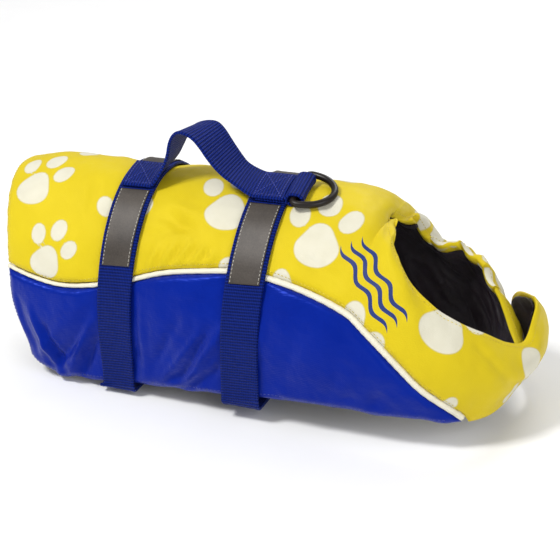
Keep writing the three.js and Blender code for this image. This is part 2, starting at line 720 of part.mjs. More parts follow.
add('upper_panel', upperPanel(), materials.yellow);
add('lining', lining(), materials.lining);
for (const [name, side] of [['near', near], ['far', far]]) {
  add(`side_panel_${name}`, sidePanel(side), materials.blue);
  add(`piping_${name}`, piping(side), materials.cream);
  for (const place of ['rear', 'front']) {
    add(`tape_${place}_${name}`, tape(strapPlaces[place], tapeReach[place], side), materials.tape);
  }
}
for (const place of ['rear', 'front']) {
  add(`belly_strap_${place}`, bellyStrap(strapPlaces[place], bellyDrop[place]), materials.webbing);
  add(`buckle_${place}`, strapBuckle(strapPlaces[place], bellyDrop[place]), materials.ring);
}
add('handle', handle(), materials.webbing);
add('ring_loop', ringLoop(), materials.webbing);
add('lead_ring', ring(), materials.ring);

export default jacket;
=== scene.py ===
import math

import bmesh
import bpy
import numpy as np
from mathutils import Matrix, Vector, kdtree, noise


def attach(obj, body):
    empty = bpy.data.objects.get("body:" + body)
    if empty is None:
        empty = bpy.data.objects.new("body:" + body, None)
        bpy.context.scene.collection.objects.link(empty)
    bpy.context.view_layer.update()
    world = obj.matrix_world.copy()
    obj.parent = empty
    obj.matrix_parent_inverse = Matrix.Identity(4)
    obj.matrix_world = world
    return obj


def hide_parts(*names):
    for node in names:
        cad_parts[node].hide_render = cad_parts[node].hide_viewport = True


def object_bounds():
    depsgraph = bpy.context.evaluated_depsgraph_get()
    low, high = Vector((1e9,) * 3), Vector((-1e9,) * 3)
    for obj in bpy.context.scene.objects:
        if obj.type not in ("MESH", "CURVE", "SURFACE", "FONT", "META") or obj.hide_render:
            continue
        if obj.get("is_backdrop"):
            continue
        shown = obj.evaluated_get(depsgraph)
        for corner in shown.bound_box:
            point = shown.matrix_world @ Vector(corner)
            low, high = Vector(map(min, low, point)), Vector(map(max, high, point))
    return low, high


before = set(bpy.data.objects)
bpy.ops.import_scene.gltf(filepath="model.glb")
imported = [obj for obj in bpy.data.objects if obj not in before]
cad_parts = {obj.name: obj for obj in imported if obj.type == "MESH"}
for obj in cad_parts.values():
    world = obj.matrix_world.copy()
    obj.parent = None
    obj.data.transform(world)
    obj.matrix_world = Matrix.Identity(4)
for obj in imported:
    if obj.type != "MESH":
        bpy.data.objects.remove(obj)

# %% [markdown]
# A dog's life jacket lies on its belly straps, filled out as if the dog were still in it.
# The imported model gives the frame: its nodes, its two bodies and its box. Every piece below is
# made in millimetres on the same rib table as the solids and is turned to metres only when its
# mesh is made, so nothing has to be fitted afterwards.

MM = 0.001
cad_low, cad_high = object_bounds()
print("solid model's box", [round(v, 4) for v in (*cad_low, *cad_high)])

# %% [markdown]
# The camera comes first, because everything is judged through it. The picture looks at the
# jacket's near side from a little towards its head, and somewhat down. A long lens about a metre
# away keeps both ends of the jacket nearly the same scale, as in a product picture.

# %% Camera
def put_in_scene(name, data):
    """An object with this data, linked to the scene."""
    made = bpy.data.objects.new(name, data)
    bpy.context.scene.collection.objects.link(made)
    return made


AZIMUTH, ELEVATION = 20, 24
camera_data = bpy.data.cameras.new("product_lens")
camera_data.lens = 100.4
camera_data.sensor_width = 36
camera_data.clip_start, camera_data.clip_end = 0.05, 20
camera = put_in_scene("product_camera", camera_data)
camera.location = Vector((354.584, -858.452, 347.986)) * MM
camera.rotation_euler = (math.radians(90 - ELEVATION), 0, math.radians(AZIMUTH))
bpy.context.scene.camera = camera
bpy.context.scene.view_settings.view_transform = "Standard"
print("camera at", [round(v, 3) for v in camera.location])

# %% [markdown]
# Two small helpers serve every finish. Colours are written as the sRGB hex values a painter
# would pick, and one function turns them to the linear values that light is computed in. The
# other adds one node with its settings and links, which keeps each node tree readable.

# %% Colour and node helpers
def linear(hex_colour):
    """An sRGB hex colour as linear red, green, blue and alpha."""
    parts = [int(hex_colour[i:i + 2], 16) / 255 for i in (1, 3, 5)]
    return [v / 12.92 if v <= 0.04045 else ((v + 0.055) / 1.055) ** 2.4 for v in parts] + [1.0]


def add_node(tree, kind, inputs=None, **settings):
    """Adds a node; inputs maps socket names or numbers to values or to other nodes' outputs."""
    made = tree.nodes.new(kind)
    for name, value in settings.items():
        setattr(made, name, value)
    for name, value in (inputs or {}).items():
        if isinstance(value, bpy.types.NodeSocket):
            tree.links.new(value, made.inputs[name])
        else:
            made.inputs[name].default_value = value
    return made


# %% [markdown]
# The real jacket is cut flat and takes its shape from the dog. Here a table of ribs gives that
# shape: each rib runs from the spine, or from the neck edge, over the widest point of the side
# and down to the hem. A smooth spline through the table gives any rib between two rows. A place
# on the cloth is then a station along the jacket, a share of the way down its rib and a side.

# %% Rib table
NEAR, FAR = -1, 1
RIBS = np.array([
    # top x, y, z     side x, y, z     hem x, y, z     full, lean, piping height, far drop
    (-139, 0, 0, -125, 54, -66, -116, 48, -116, 0.55, 0, -52, 0),
    (-118, 0, 5, -107, 58, -68, -98, 54, -124, 0.55, 0, -55, 0),
    (-92, 0, 6.5, -86, 60, -70, -80, 57, -124, 0.55, 0, -57, 0),
    (-66, 0, 7, -64, 61, -70, -62, 58, -122, 0.55, 0, -54, 0),
    (-40, 0, 7.5, -40, 63, -70, -40, 60, -119, 0.55, 0, -47, 0),
    (-14, 0, 8, -14, 65, -71, -14, 62, -117, 0.55, 0, -38, 0),
    (12, 0, 8, 12, 67, -72, 12, 64, -114, 0.54, 0, -33, 0),
    (38, 0, 8.5, 38, 69, -74, 38, 67, -111, 0.53, 0, -30, 0),
    (64, 0, 9, 64, 71, -75, 64, 68, -108, 0.52, 0, -32, 0),
    (90, 0, 9, 88, 72, -75, 88, 68, -107, 0.51, 0, -37, 0),
    (115, 0, 7, 108, 72, -75, 108, 68, -107, 0.5, 0, -44.5, 0),
    (118, 14, 4, 121, 72, -75, 124, 68, -107, 0.5, 0.15, -53, 7),
    (123, 28, -2, 133, 71.5, -76, 139, 67, -107, 0.5, 0.3, -63, 10),
    (132, 39, -14, 145, 70, -77, 153, 65, -107, 0.5, 0.45, -75, 18),
    (144, 45, -28, 157, 68, -79, 166, 62, -108, 0.5, 0.5, -88, 4),
    (158, 46, -39, 170, 64, -81, 177, 56, -109, 0.5, 0.5, -102.5, 0),
    (172, 41, -49, 183, 56, -84, 185, 48, -110, 0.5, 0.5, -117, -4),
    (184, 31, -58, 196, 43, -86, 192, 37, -110, 0.5, 0.5, -130, -5),
    (195, 16, -69, 206, 24, -86, 197, 21, -109, 0.5, 0.5, -140, 0),
    (202, 0, -74, 212, 0, -86, 200, 0, -108, 0.5, 0.5, -150, 0),
])
NEAR_FLAP = np.array([
    (206, -9, -62, 212, -25, -86, 204, -21, -108, 0.5, 0.5, -150, 0),
    (206, -17, -57, 204, -48, -86, 198, -43, -108, 0.5, 0.5, -150, 0),
    (203, -24, -55, 179, -69, -82, 175, -62, -108, 0.5, 0.5, -150, 0),
])
# The sides part at the nape. Each flap ends at a station of its own.
NAPE, LAST_STATION = 10.0, 22
NEAR_END, FAR_END = 21.9, 20.2
NAPE_DIP, NAPE_REACH = 12.0, 0.5
MIRROR = np.array([1, -1, 1, 1, -1, 1, 1, -1, 1, 1, 1, 1, 1])
ROWS = {NEAR: np.vstack([RIBS, NEAR_FLAP]), FAR: np.vstack([RIBS, RIBS[-2:-5:-1] * MIRROR])}
print(len(RIBS), "ribs, and", len(NEAR_FLAP), "more in the near flap")


# %% Ribs between the rows
def ribs_at(stations, side):
    """The rib columns at each station, by a smooth spline through the table."""
    rows = ROWS[side]
    index = np.clip(np.floor(stations).astype(int), 0, len(rows) - 2)
    t = (stations - index)[:, None]
    before, start, end, after = (
        rows[np.clip(index + step, 0, len(rows) - 1)].copy() for step in (-1, 0, 1, 2))
    over_nape = (index == NAPE) & (stations > NAPE)
    before[over_nape, 0:3] = end[over_nape, 0:3] * (1, -1, 1)
    slope_in, slope_out = (end - before) / 2, (after - start) / 2
    rib = ((2 * (start - end) + slope_in + slope_out) * t + 3 * (end - start) - 2 * slope_in - slope_out) * t
    rib = (rib + slope_in) * t + start
    on_back = stations <= NAPE
    rib[on_back, 1] = 0
    # The far rim is a little gathered between the nape and the chest.
    if side == FAR:
        gathered = 1.5 * np.sin(stations * 4.7 + 0.4) + 0.6 * np.sin(stations * 8.6)
        gathered *= np.clip(stations - 11.2, 0, 1) * np.clip(17.5 - stations, 0, 1)
        rib[:, 2] -= np.where(on_back, 0, rib[:, 12] + gathered)
    return rib


def bezier(a, b, c, d, t):
    t = t[None, :, None]
    a, b, c, d = (p[:, None, :] for p in (a, b, c, d))
    return (1 - t) ** 3 * a + 3 * (1 - t) ** 2 * t * b + 3 * (1 - t) * t * t * c + t ** 3 * d


RIB_STEPS = 49


def rib_lines(stations, side):
    """Points down each rib, and how far down the cloth each one is, in millimetres."""
    rib = ribs_at(stations, side)
    top, widest, hem = rib[:, 0:3], rib[:, 3:6], rib[:, 6:9]
    full, lean = rib[:, 9:10], rib[:, 10:11]
    across = (widest - top) * full
    shoulder = top + across * np.concatenate([np.minimum(1, lean * 2.2), np.ones_like(full), lean], 1)
    up = np.array([[0, 0, 1.0]])
    flank = widest + up * (top[:, 2:] - widest[:, 2:]) * full
    belly = widest + up * (hem[:, 2:] - widest[:, 2:]) * 0.4
    tuck = hem + (widest - hem) * np.array([[0.2, 0.2, 0.4]])
    t = np.linspace(0, 1, RIB_STEPS)
    line = np.concatenate([bezier(top, shoulder, flank, widest, t),
                           bezier(widest, belly, tuck, hem, t)[:, 1:]], 1)
    # The cloth bends down at the nape, most of all on the spine.
    dip = np.interp(stations, (9, 9.4, 9.7, 10, 11, 12, 13), (0, 0.12, 0.42, 1, 0.6, 0.2, 0))
    fade = np.clip(1 - np.linspace(0, 2, 2 * RIB_STEPS - 1) / 0.55, 0, 1)
    bend = dip[:, None] * fade * fade * (3 - 2 * fade)
    line[..., 2] -= NAPE_DIP * bend
    line[..., 0] += NAPE_REACH * bend
    steps = np.linalg.norm(np.diff(line, axis=1), axis=2)
    reach = np.concatenate([np.zeros((len(line), 1)), np.cumsum(steps, 1)], 1)
    return line, reach


# %% Places on the form
def form(stations, shares, side):
    """The outer form at stations (n) and shares down each rib (n, m)."""
    stations = np.asarray(stations, float)
    shares = np.broadcast_to(shares, (len(stations), np.shape(shares)[-1]))
    line, reach = rib_lines(stations, side)
    out = np.empty(shares.shape + (3,))
    for i in range(len(stations)):
        wanted = shares[i] * reach[i, -1]
        for axis in range(3):
            out[i, :, axis] = np.interp(wanted, reach[i], line[i, :, axis])
    out[..., 1] *= side
    return out


def form_normal(stations, shares, side):
    """The direction out of the cloth at each place."""
    stations = np.asarray(stations, float)
    shares = np.broadcast_to(shares, (len(stations), np.shape(shares)[-1]))
    step, station_step = 0.02, 0.1
    ahead = form(np.minimum(stations + station_step, LAST_STATION), shares, side)
    behind = form(np.maximum(stations - station_step, 0), shares, side)
    upper = form(stations, np.maximum(shares - step, 0), side)
    over = form(stations, np.clip(step - shares, 0, 1), -side)
    crossing = (stations[:, None] <= NAPE) & (shares < step)
    upper = np.where(crossing[..., None], over, upper)
    lower = form(stations, np.minimum(shares + step, 1), side)
    out = np.cross(ahead - behind, lower - upper) * side
    return out / np.linalg.norm(out, axis=-1, keepdims=True)


def placed(stations, shares, side, depth):
    """The form, sunk by a depth towards the dog."""
    return form(stations, shares, side) - form_normal(stations, shares, side) * np.asarray(depth)[..., None]


def rib_lengths(stations):
    return rib_lines(np.asarray(stations, float), NEAR)[1][:, -1]


# %% The seam between the yellow and the blue
TIP_STATION = 15.25
PIPING_HALF = 1.9
fine = np.linspace(0, LAST_STATION, 441)
fine_length = rib_lengths(fine)


def share_at_height(stations, heights):
    """How far down each rib the form passes a height, by halving the range again and again."""
    low, high = np.zeros(len(stations)), np.ones(len(stations))
    for _ in range(24):
        middle = (low + high) / 2
        above = form(stations, middle[:, None], NEAR)[:, 0, 2] > heights
        low, high = np.where(above, middle, low), np.where(above, high, middle)
    return (low + high) / 2


fine_seam = share_at_height(fine, ribs_at(fine, NEAR)[:, 11])
seam_points = form(fine, fine_seam[:, None], NEAR)[:, 0]
seam_way = np.gradient(seam_points, axis=0)
rib_way = (form(fine, np.minimum(fine_seam + 0.02, 1)[:, None], NEAR)
           - form(fine, (fine_seam - 0.02)[:, None], NEAR))[:, 0]
turn = (seam_way * rib_way).sum(1) / np.linalg.norm(seam_way, axis=1) / np.linalg.norm(rib_way, axis=1)
fine_reach = PIPING_HALF / np.maximum(np.sqrt(1 - turn * turn), 0.35)


def length_at(stations):
    """How long the ribs are, in millimetres."""
    return np.interp(stations, fine, fine_length)


def seam_share(stations):
    return np.interp(stations, fine, fine_seam)


def upper_edge(stations):
    """Where the yellow panel ends down each rib: at the piping, or at the hem past the blue tip."""
    wanted = np.interp(stations, fine, fine_seam - fine_reach / fine_length)
    kept = np.clip(wanted, 0, 1 - 0.5 / length_at(stations))
    return np.where(stations > TIP_STATION + 0.3, 1, kept)


def lower_edge(stations):
    """Where the blue panel starts down each rib."""
    return np.interp(stations, fine, fine_seam + fine_reach / fine_length)


print("seam runs from", np.round(seam_points[0]), "to", np.round(seam_points[fine <= TIP_STATION][-1]))

# %% [markdown]
# The panels are foam between two layers of nylon, so each one is a padded shell: full in the
# middle and drawn in to a rolled edge. The chest flaps are thinner and lie one over the other.
# The far flap lies under the near one, so it sinks by the thickness of the near flap, its
# lining and a little air.

# %% Thickness of the padding
WALL, FLAP_WALL = 6.2, 3.4
LINING_WALL, LINING_GAP, FLAP_CLEARANCE = 1.2, 0.95, 3.0
FLAP_STACK = FLAP_WALL + LINING_WALL + LINING_GAP + FLAP_CLEARANCE
EDGE_ROLL, YELLOW_SEAM_ROLL, BLUE_SEAM_ROLL = 5.0, 3.6, 2.8


def smooth(value, low, high):
    share = np.clip((value - low) / (high - low), 0, 1)
    return share * share * (3 - 2 * share)


def sink(stations, side):
    return FLAP_STACK * smooth(stations, 14.8, 16.8) * (side == FAR)


def wall_at(stations):
    return WALL + (FLAP_WALL - WALL) * smooth(stations, 14.8, 17.5)


def rolled(distance, wall, radius):
    """How far a face falls away near an edge, so that both faces meet half way through."""
    share = 1 - np.clip(distance / radius, 0, 1)
    return wall / 2 * (1 - np.sqrt(1 - share * share))


# Distances of the rows of points nearest an edge, in millimetres.
EDGE_ROWS = np.array([0, 0.12, 0.45, 1.0, 1.8, 2.8, 4.0, 5.4, 7.0])


def spaced(length, step):
    """Shares from 0 to 1, close together near both ends, where the cloth rolls over."""
    inset = EDGE_ROWS[-1]
    middle = np.linspace(inset, length - inset, max(2, round((length - 2 * inset) / step)))[1:-1]
    return np.concatenate([EDGE_ROWS, middle, length - EDGE_ROWS[::-1]]) / length


# %% [markdown]
# Cloth that is sewn, gathered and strapped is never smooth. The large folds are the same as in
# the solids. Smaller creases are listed along lines on the cloth: each one is a trough or a
# ridge with soft shoulders that dies out at both ends. The far side has its own uneven set.

# %% Folds and creases
FOLDS = np.array([
    # station, height, half sizes along and down, slant, depth (a ridge is negative)
    (1.4, -98, 0.24, 18, 0.046, -1.8),
    (1.75, -109, 0.24, 18, 0.045, 2.6),
    (2.1, -108, 0.22, 16, 0.045, -2.2),
    (2.7, -112, 0.3, 20, 0.02, 2.2),
    (5.3, -108, 0.24, 18, 0.05, 2.0),
    (5.55, -106, 0.18, 14, 0.052, -1.8),
    (5.8, -108, 0.2, 16, 0.048, 2.4),
    (8.3, -84, 0.35, 24, 0.01, 2.0),
    (14.2, -52, 0.8, 12, 0, 2.2),
])
CREASES = [
    # station and share at both ends, half width and depth in millimetres, and side (0 is both)
    # gathers above the piping, between the straps
    (4.62, 0.490, 4.82, 0.400, 2.1, -2.7, 0), (4.78, 0.490, 5.00, 0.420, 1.6, 1.9, 0),
    (4.97, 0.475, 5.28, 0.375, 2.1, -2.8, 0), (5.16, 0.470, 5.46, 0.385, 1.7, 1.9, 0),
    (5.37, 0.458, 5.72, 0.360, 2.1, -2.7, 0), (5.56, 0.455, 5.90, 0.370, 1.6, 1.6, 0),
    (5.77, 0.450, 6.03, 0.375, 2.0, -2.4, 0), (5.95, 0.448, 6.18, 0.390, 1.6, 1.6, 0),
    (6.15, 0.445, 6.30, 0.395, 1.9, -2.0, 0),
    # broad soft folds fanning over the yellow
    (4.40, 0.270, 5.70, 0.325, 3.6, 2.1, 0), (4.70, 0.215, 5.90, 0.270, 4.0, -1.7, 0),
    (4.50, 0.370, 5.50, 0.300, 3.6, 2.0, NEAR), (2.70, 0.122, 2.80, 0.297, 3.6, 1.7, 0),
    (7.90, 0.36, 9.60, 0.46, 4.4, 2.0, NEAR), (8.10, 0.12, 9.40, 0.20, 4.9, 2.0, 0),
    (11.2, 0.20, 13.2, 0.40, 4.4, 1.7, NEAR), (13.25, 0.035, 14.6, 0.098, 4.4, 2.5, 0),
    (16.2, 0.15, 17.6, 0.55, 3.6, 1.7, NEAR), (17.2, 0.55, 18.8, 0.75, 4.0, 1.7, NEAR),
    # folds of the blue cloth up from the hem
    (0.95, 0.70, 1.45, 0.975, 2.6, -3.7, NEAR), (1.35, 0.76, 1.78, 0.960, 2.3, 3.5, NEAR),
    (3.15, 0.70, 1.95, 0.985, 2.4, -4.1, NEAR), (3.40, 0.74, 2.40, 0.975, 2.3, 2.6, NEAR),
    (0.50, 0.66, 0.75, 0.950, 2.7, 1.9, NEAR), (6.90, 0.63, 5.60, 0.985, 2.6, -4.1, NEAR),
    (6.40, 0.68, 5.35, 0.970, 2.1, 3.2, NEAR), (7.10, 0.70, 6.15, 0.970, 2.4, 2.4, NEAR),
    (6.10, 0.72, 4.90, 0.980, 2.3, -3.5, NEAR), (5.55, 0.67, 4.65, 0.940, 3.0, 2.6, NEAR),
    (7.70, 0.64, 7.38, 0.870, 2.7, -2.4, NEAR), (4.50, 0.60, 4.56, 0.940, 3.0, -1.9, NEAR),
    (8.65, 0.66, 8.15, 0.900, 5.0, 1.3, NEAR), (9.40, 0.97, 9.90, 0.78, 4.5, 1.2, NEAR),
    (10.9, 0.97, 11.9, 0.84, 4.5, 1.2, NEAR), (8.70, 0.56, 10.6, 0.68, 6.0, 1.0, NEAR),
    (12.7, 0.62, 13.6, 0.81, 5.0, 0.9, NEAR), (4.20, 0.170, 5.80, 0.370, 5.0, 1.5, NEAR),
    (1.10, 0.985, 1.90, 0.80, 2.4, -3.6, FAR), (1.35, 0.990, 2.20, 0.83, 2.2, 3.0, FAR),
    (2.20, 0.985, 2.90, 0.84, 2.4, -3.2, FAR), (4.80, 0.990, 5.70, 0.78, 2.6, -3.6, FAR),
    (5.05, 0.990, 6.00, 0.79, 2.2, 3.0, FAR), (6.00, 0.985, 6.70, 0.74, 2.4, -2.9, FAR),
    (7.50, 0.93, 7.80, 0.66, 3.0, -2.4, FAR), (9.30, 0.97, 10.0, 0.80, 3.0, 2.2, FAR),
    (11.4, 0.97, 12.3, 0.88, 3.0, 1.9, FAR), (0.50, 0.60, 1.60, 0.70, 2.9, 1.9, FAR),
    (8.0, 0.30, 9.8, 0.42, 5.2, 1.4, FAR), (11.5, 0.30, 13.0, 0.42, 5.2, 1.4, FAR),
    # gathers along the neck edge
    (11.2, 0.0, 11.5, 0.09, 2.4, 1.4, 0), (11.9, 0.0, 12.3, 0.10, 2.6, -1.4, FAR),
    (12.6, 0.0, 13.1, 0.12, 2.6, 1.8, FAR), (13.3, 0.0, 13.8, 0.10, 2.4, -1.5, FAR),
    (14.0, 0.0, 14.5, 0.11, 2.6, 1.7, FAR), (15.1, 0.0, 15.4, 0.09, 2.4, -1.2, FAR),
    (12.4, 0.0, 12.9, 0.08, 2.9, 1.2, NEAR), (14.9, 0.0, 15.5, 0.08, 3.1, 1.2, NEAR),
]


def crease_line(row, side):
    """Points along a crease on the form, and its depth there, which fades towards both ends."""
    t = np.linspace(0, 1, 25)
    stations, shares = row[0] + (row[2] - row[0]) * t, row[1] + (row[3] - row[1]) * t
    points = form(stations, shares[:, None], side)[:, 0]
    fade = np.sin(np.pi * np.clip(t * 0.92 + 0.04, 0, 1)) ** 0.7
    return points, row[5] * fade


def crease_depth(points, side):
    """Depth of every crease at points on the outer form."""
    flat = points.reshape(-1, 3)
    depth = np.zeros(len(flat))
    for row in CREASES:
        if row[6] not in (0, side):
            continue
        line, line_depth = crease_line(row, side)
        width = row[4]
        close = np.where(((flat > line.min(0) - 3 * width) & (flat < line.max(0) + 3 * width)).all(1))[0]
        if not len(close):
            continue
        gap = np.linalg.norm(flat[close, None] - line[None], axis=2)
        nearest = gap.argmin(1)
        share = gap[np.arange(len(close)), nearest] / width
        depth[close] += line_depth[nearest] * (np.exp(-share * share) - 0.25 * np.exp(-(share / 2) ** 2))
    return depth.reshape(points.shape[:-1])


def fold_depth(stations, points, side):
    height = points[..., 2]
    depth = np.zeros(height.shape)
    for station, middle, along, down, slant, deep in FOLDS:
        shift = 0.15 if side == FAR else 0
        away = (stations[:, None] - station - shift - slant * (height - middle)) / along
        depth += deep * np.exp(-away ** 2 - ((height - middle) / down) ** 2)
    return depth


def soft_noise(points, size, seed):
    """Smooth uneven values from -1 to 1, the same on every run."""
    flat = points.reshape(-1, 3) / size + seed * 17.3
    return np.array([noise.noise(Vector(p)) for p in flat]).reshape(points.shape[:-1])


print(len(FOLDS), "folds and", len(CREASES), "creases")

# %% [markdown]
# The print is a scatter of plain dog's paws: a rounded pad and three toes. It isn't painted in
# an image. Each point of the cloth keeps how far it is from the nearest pad or toe, and the
# material turns that distance into crisp white paws with a thin line round them. Three plain
# waves stand on the near shoulder: points near them keep their place along and across the waves.

# %% Paw prints and waves
PAWS = [
    # side, station, share, turn in degrees towards the head, half width of the pad
    (NEAR, 1.05, 0.205, 12, 12.0), (NEAR, 1.62, 0.495, 18, 10.6), (NEAR, 3.75, 0.340, -8, 11.5),
    (NEAR, 6.30, 0.225, 0, 13.5), (NEAR, 6.65, 0.640, 0, 13.0), (NEAR, 8.72, 0.330, 0, 14.2),
    (NEAR, 8.00, 0.670, 0, 13.0), (NEAR, 9.80, 0.765, 15, 14.3), (NEAR, 15.05, 0.165, 16, 15.0),
    (NEAR, 13.6, 0.985, 40, 8.2), (NEAR, 18.55, 0.410, 5, 12.5), (NEAR, 20.6, 0.750, -30, 11.5),
    (FAR, 1.80, 0.225, 0, 12.2), (FAR, 1.30, 0.560, 10, 11.0), (FAR, 3.60, 0.420, 14, 12.0),
    (FAR, 5.90, 0.230, -10, 13.0), (FAR, 6.10, 0.610, 30, 13.5), (FAR, 8.40, 0.310, 14, 14.0),
    (FAR, 9.40, 0.640, -12, 13.0), (FAR, 10.60, 0.460, 20, 13.0), (FAR, 13.40, 0.210, 0, 10.0),
    (FAR, 13.6, 0.720, 10, 12.0), (FAR, 15.6, 0.310, 10, 10.0), (FAR, 18.1, 0.470, 0, 10.0),
]
PAW_PARTS = [
    # centre across and up, radii across and up (all in pad half widths), tilt in degrees
    (0.0, -0.20, 1.00, 0.78, 0), (0.0, 0.38, 0.60, 0.64, 0),
    (-1.13, 1.30, 0.48, 0.64, 22), (0.0, 2.05, 0.53, 0.68, 0), (1.13, 1.30, 0.48, 0.64, -22),
]
PAD_BLEND, PAW_REACH, MOST_STRETCH = 5.0, 3.6, 1.25
NO_PAW, NO_WAVE = 40.0, 200.0
WAVES = {"station": 11.05, "share": 0.36, "turn": 52, "length": 60.0, "gap": 6.6,
         "bow": 1.7, "pitch": 20.0, "half": 1.35, "taper": 8.0}


def cloth_frame(station, share, side):
    """A place on the form, with the directions along the back and up the rib there."""
    station, share = np.array([station]), np.array([[share]])
    origin = form(station, share, side)[0, 0]
    out = form_normal(station, share, side)[0, 0]
    # On the chest, where the cloth faces forward, up the jacket is the safer guide.
    guide = np.array([1.0, 0, 0]) if abs(out[0]) < 0.75 else np.cross([0, 0, side], out)
    along = guide - out * guide.dot(out)
    along /= np.linalg.norm(along)
    return origin, along, np.cross(along, out) * side


def flat_place(points, station, share, side, turn_degrees):
    """Points near a place, laid flat round it: across, up and how far off, in millimetres."""
    origin, along, up = cloth_frame(station, share, side)
    away = points - origin
    across, rise = away @ along, away @ up
    far_off = np.linalg.norm(away, axis=-1)
    stretch = np.minimum(far_off / np.maximum(np.hypot(across, rise), 1e-6), MOST_STRETCH)
    angle = math.radians(turn_degrees)
    right = (across * math.cos(angle) - rise * math.sin(angle)) * stretch
    high = (across * math.sin(angle) + rise * math.cos(angle)) * stretch
    return right, high, far_off


def ellipse_distance(x, y, rx, ry):
    reach = np.hypot(x / rx, y / ry)
    slope = np.hypot(x / rx ** 2, y / ry ** 2)
    return reach * (reach - 1) / np.maximum(slope, 1e-6)


def paw_distance(points, side):
    """Signed distance to the nearest paw print, in millimetres, negative inside it."""
    best = np.full(points.shape[:-1], NO_PAW)
    for paw_side, station, share, turn_degrees, half in PAWS:
        if paw_side != side and station > NAPE + 1:
            continue
        x, y, away = flat_place(points, station, share, paw_side, turn_degrees)
        found = np.full(x.shape, NO_PAW)
        for part, (cx, cy, rx, ry, tilt) in enumerate(PAW_PARTS):
            lean = math.radians(tilt)
            dx, dy = x - cx * half, y - cy * half
            ex = dx * math.cos(lean) + dy * math.sin(lean)
            ey = dy * math.cos(lean) - dx * math.sin(lean)
            gap = ellipse_distance(ex, ey, rx * half, ry * half)
            if part == 1:
                # The first two rounds melt into one pad.
                blend = np.clip(0.5 + 0.5 * (gap - found) / PAD_BLEND, 0, 1)
                found = gap + (found - gap) * blend - PAD_BLEND * blend * (1 - blend)
            else:
                found = np.minimum(found, gap)
        best = np.where((away < PAW_REACH * half) & (found < best), found, best)
    return best


def wave_place(points):
    """Where each point lies along and across the three waves on the near shoulder, in millimetres."""
    x, y, away = flat_place(points, WAVES["station"], WAVES["share"], NEAR, WAVES["turn"])
    return np.where(away > WAVES["length"], np.sign(x) * NO_WAVE, x), y


print(len(PAWS), "paw prints of", len(PAW_PARTS), "rounds each")


# %% [markdown]
# All pieces go through the same few steps: a mesh from points and faces, a finish, the body it
# rides on, and the solids that it stands for. Cloth also keeps a flat map in millimetres, so
# that its weave runs with the threads wherever the cloth bends.

# %% Making pieces
def make_piece(name, points, faces, finish, flat_map=None, marks=None):
    """A mesh object at the origin from points in millimetres."""
    mesh = bpy.data.meshes.new(name)
    mesh.from_pydata((np.asarray(points) * MM).tolist(), [], faces)
    if flat_map is not None:
        corners = np.empty(len(mesh.loops), np.int32)
        mesh.loops.foreach_get("vertex_index", corners)
        layer = mesh.uv_layers.new(name="cloth")
        layer.data.foreach_set("uv", np.asarray(flat_map, np.float32)[corners].ravel())
    for mark, values in (marks or {}).items():
        mesh.attributes.new(mark, "FLOAT", "POINT").data.foreach_set("value", np.asarray(values, np.float32))
    mesh.materials.append(finish)
    mesh.polygons.foreach_set("use_smooth", np.ones(len(mesh.polygons), bool))
    face_out(mesh)
    return put_in_scene(name, mesh)


def face_out(mesh):
    """Turns the faces of a closed body outwards."""
    work = bmesh.new()
    work.from_mesh(mesh)
    bmesh.ops.recalc_face_normals(work, faces=work.faces)
    if work.calc_volume(signed=True) < 0:
        bmesh.ops.reverse_faces(work, faces=work.faces)
    work.to_mesh(mesh)
    work.free()
    mesh.update()


def seat(made, slot, *nodes, body="jacket"):
    """Puts a piece on its body and hides the solids it stands for; its finish slot is not used."""
    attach(made, body)
    if nodes:
        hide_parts(*nodes)
    triangles = sum(len(p.vertices) - 2 for p in made.data.polygons)
    print(f"{made.name}: {triangles} triangles")
    return made


def grid_faces(index, turned):
    """Four-sided faces over a grid of point numbers."""
    a, b, c, d = index[:-1, :-1], index[:-1, 1:], index[1:, 1:], index[1:, :-1]
    quads = np.stack([a, b, c, d] if turned else [a, d, c, b], -1).reshape(-1, 4)
    return [tuple(dict.fromkeys(q)) for q in quads.tolist()]


def closed_pair(outer, inner, shared):
    """Point numbers of two grids that share the points where shared is true."""
    rows, columns = outer.shape[:2]
    outer_index = np.arange(rows * columns).reshape(rows, columns)
    own = ~shared
    inner_index = outer_index.copy()
    inner_index[own] = rows * columns + np.arange(own.sum())
    points = np.concatenate([outer.reshape(-1, 3), inner[own]])
    return points, outer_index, inner_index, own


# %% [markdown]
# The finishes come next. Each one is a colour, a relief of a real depth and a few values of the
# surface, so one function ends them all. Threads run on the piece's own flat map, and blotches,
# wear and crinkles are soft noise of a real size.

# %% What the finishes share
def new_finish(name):
    made = bpy.data.materials.new(name)
    made.use_nodes = True
    made.node_tree.nodes.clear()
    return made, made.node_tree


def thread_pattern(tree, across_mm, along_mm):
    """Two outputs on the piece's flat map: waves across the cloth and along it, from -1 to 1."""
    flat = add_node(tree, "ShaderNodeUVMap", uv_map="cloth")
    parts = add_node(tree, "ShaderNodeSeparateXYZ", {0: flat.outputs[0]})
    waves = []
    for axis, pitch in ((0, across_mm), (1, along_mm)):
        turned = add_node(tree, "ShaderNodeMath", {
            0: parts.outputs[axis], 1: 2 * math.pi / pitch}, operation="MULTIPLY")
        waves.append(add_node(tree, "ShaderNodeMath", {0: turned.outputs[0]}, operation="SINE").outputs[0])
    return waves


def soft_blotches(tree, size_mm, detail=3.0, rough=0.5):
    """Uneven values from 0 to 1 with soft blotches of a real size."""
    place = add_node(tree, "ShaderNodeTexCoord")
    spots = add_node(tree, "ShaderNodeTexNoise", {
        "Vector": place.outputs["Object"], "Scale": 1 / (size_mm * MM), "Detail": detail, "Roughness": rough})
    return spots.outputs["Fac"]


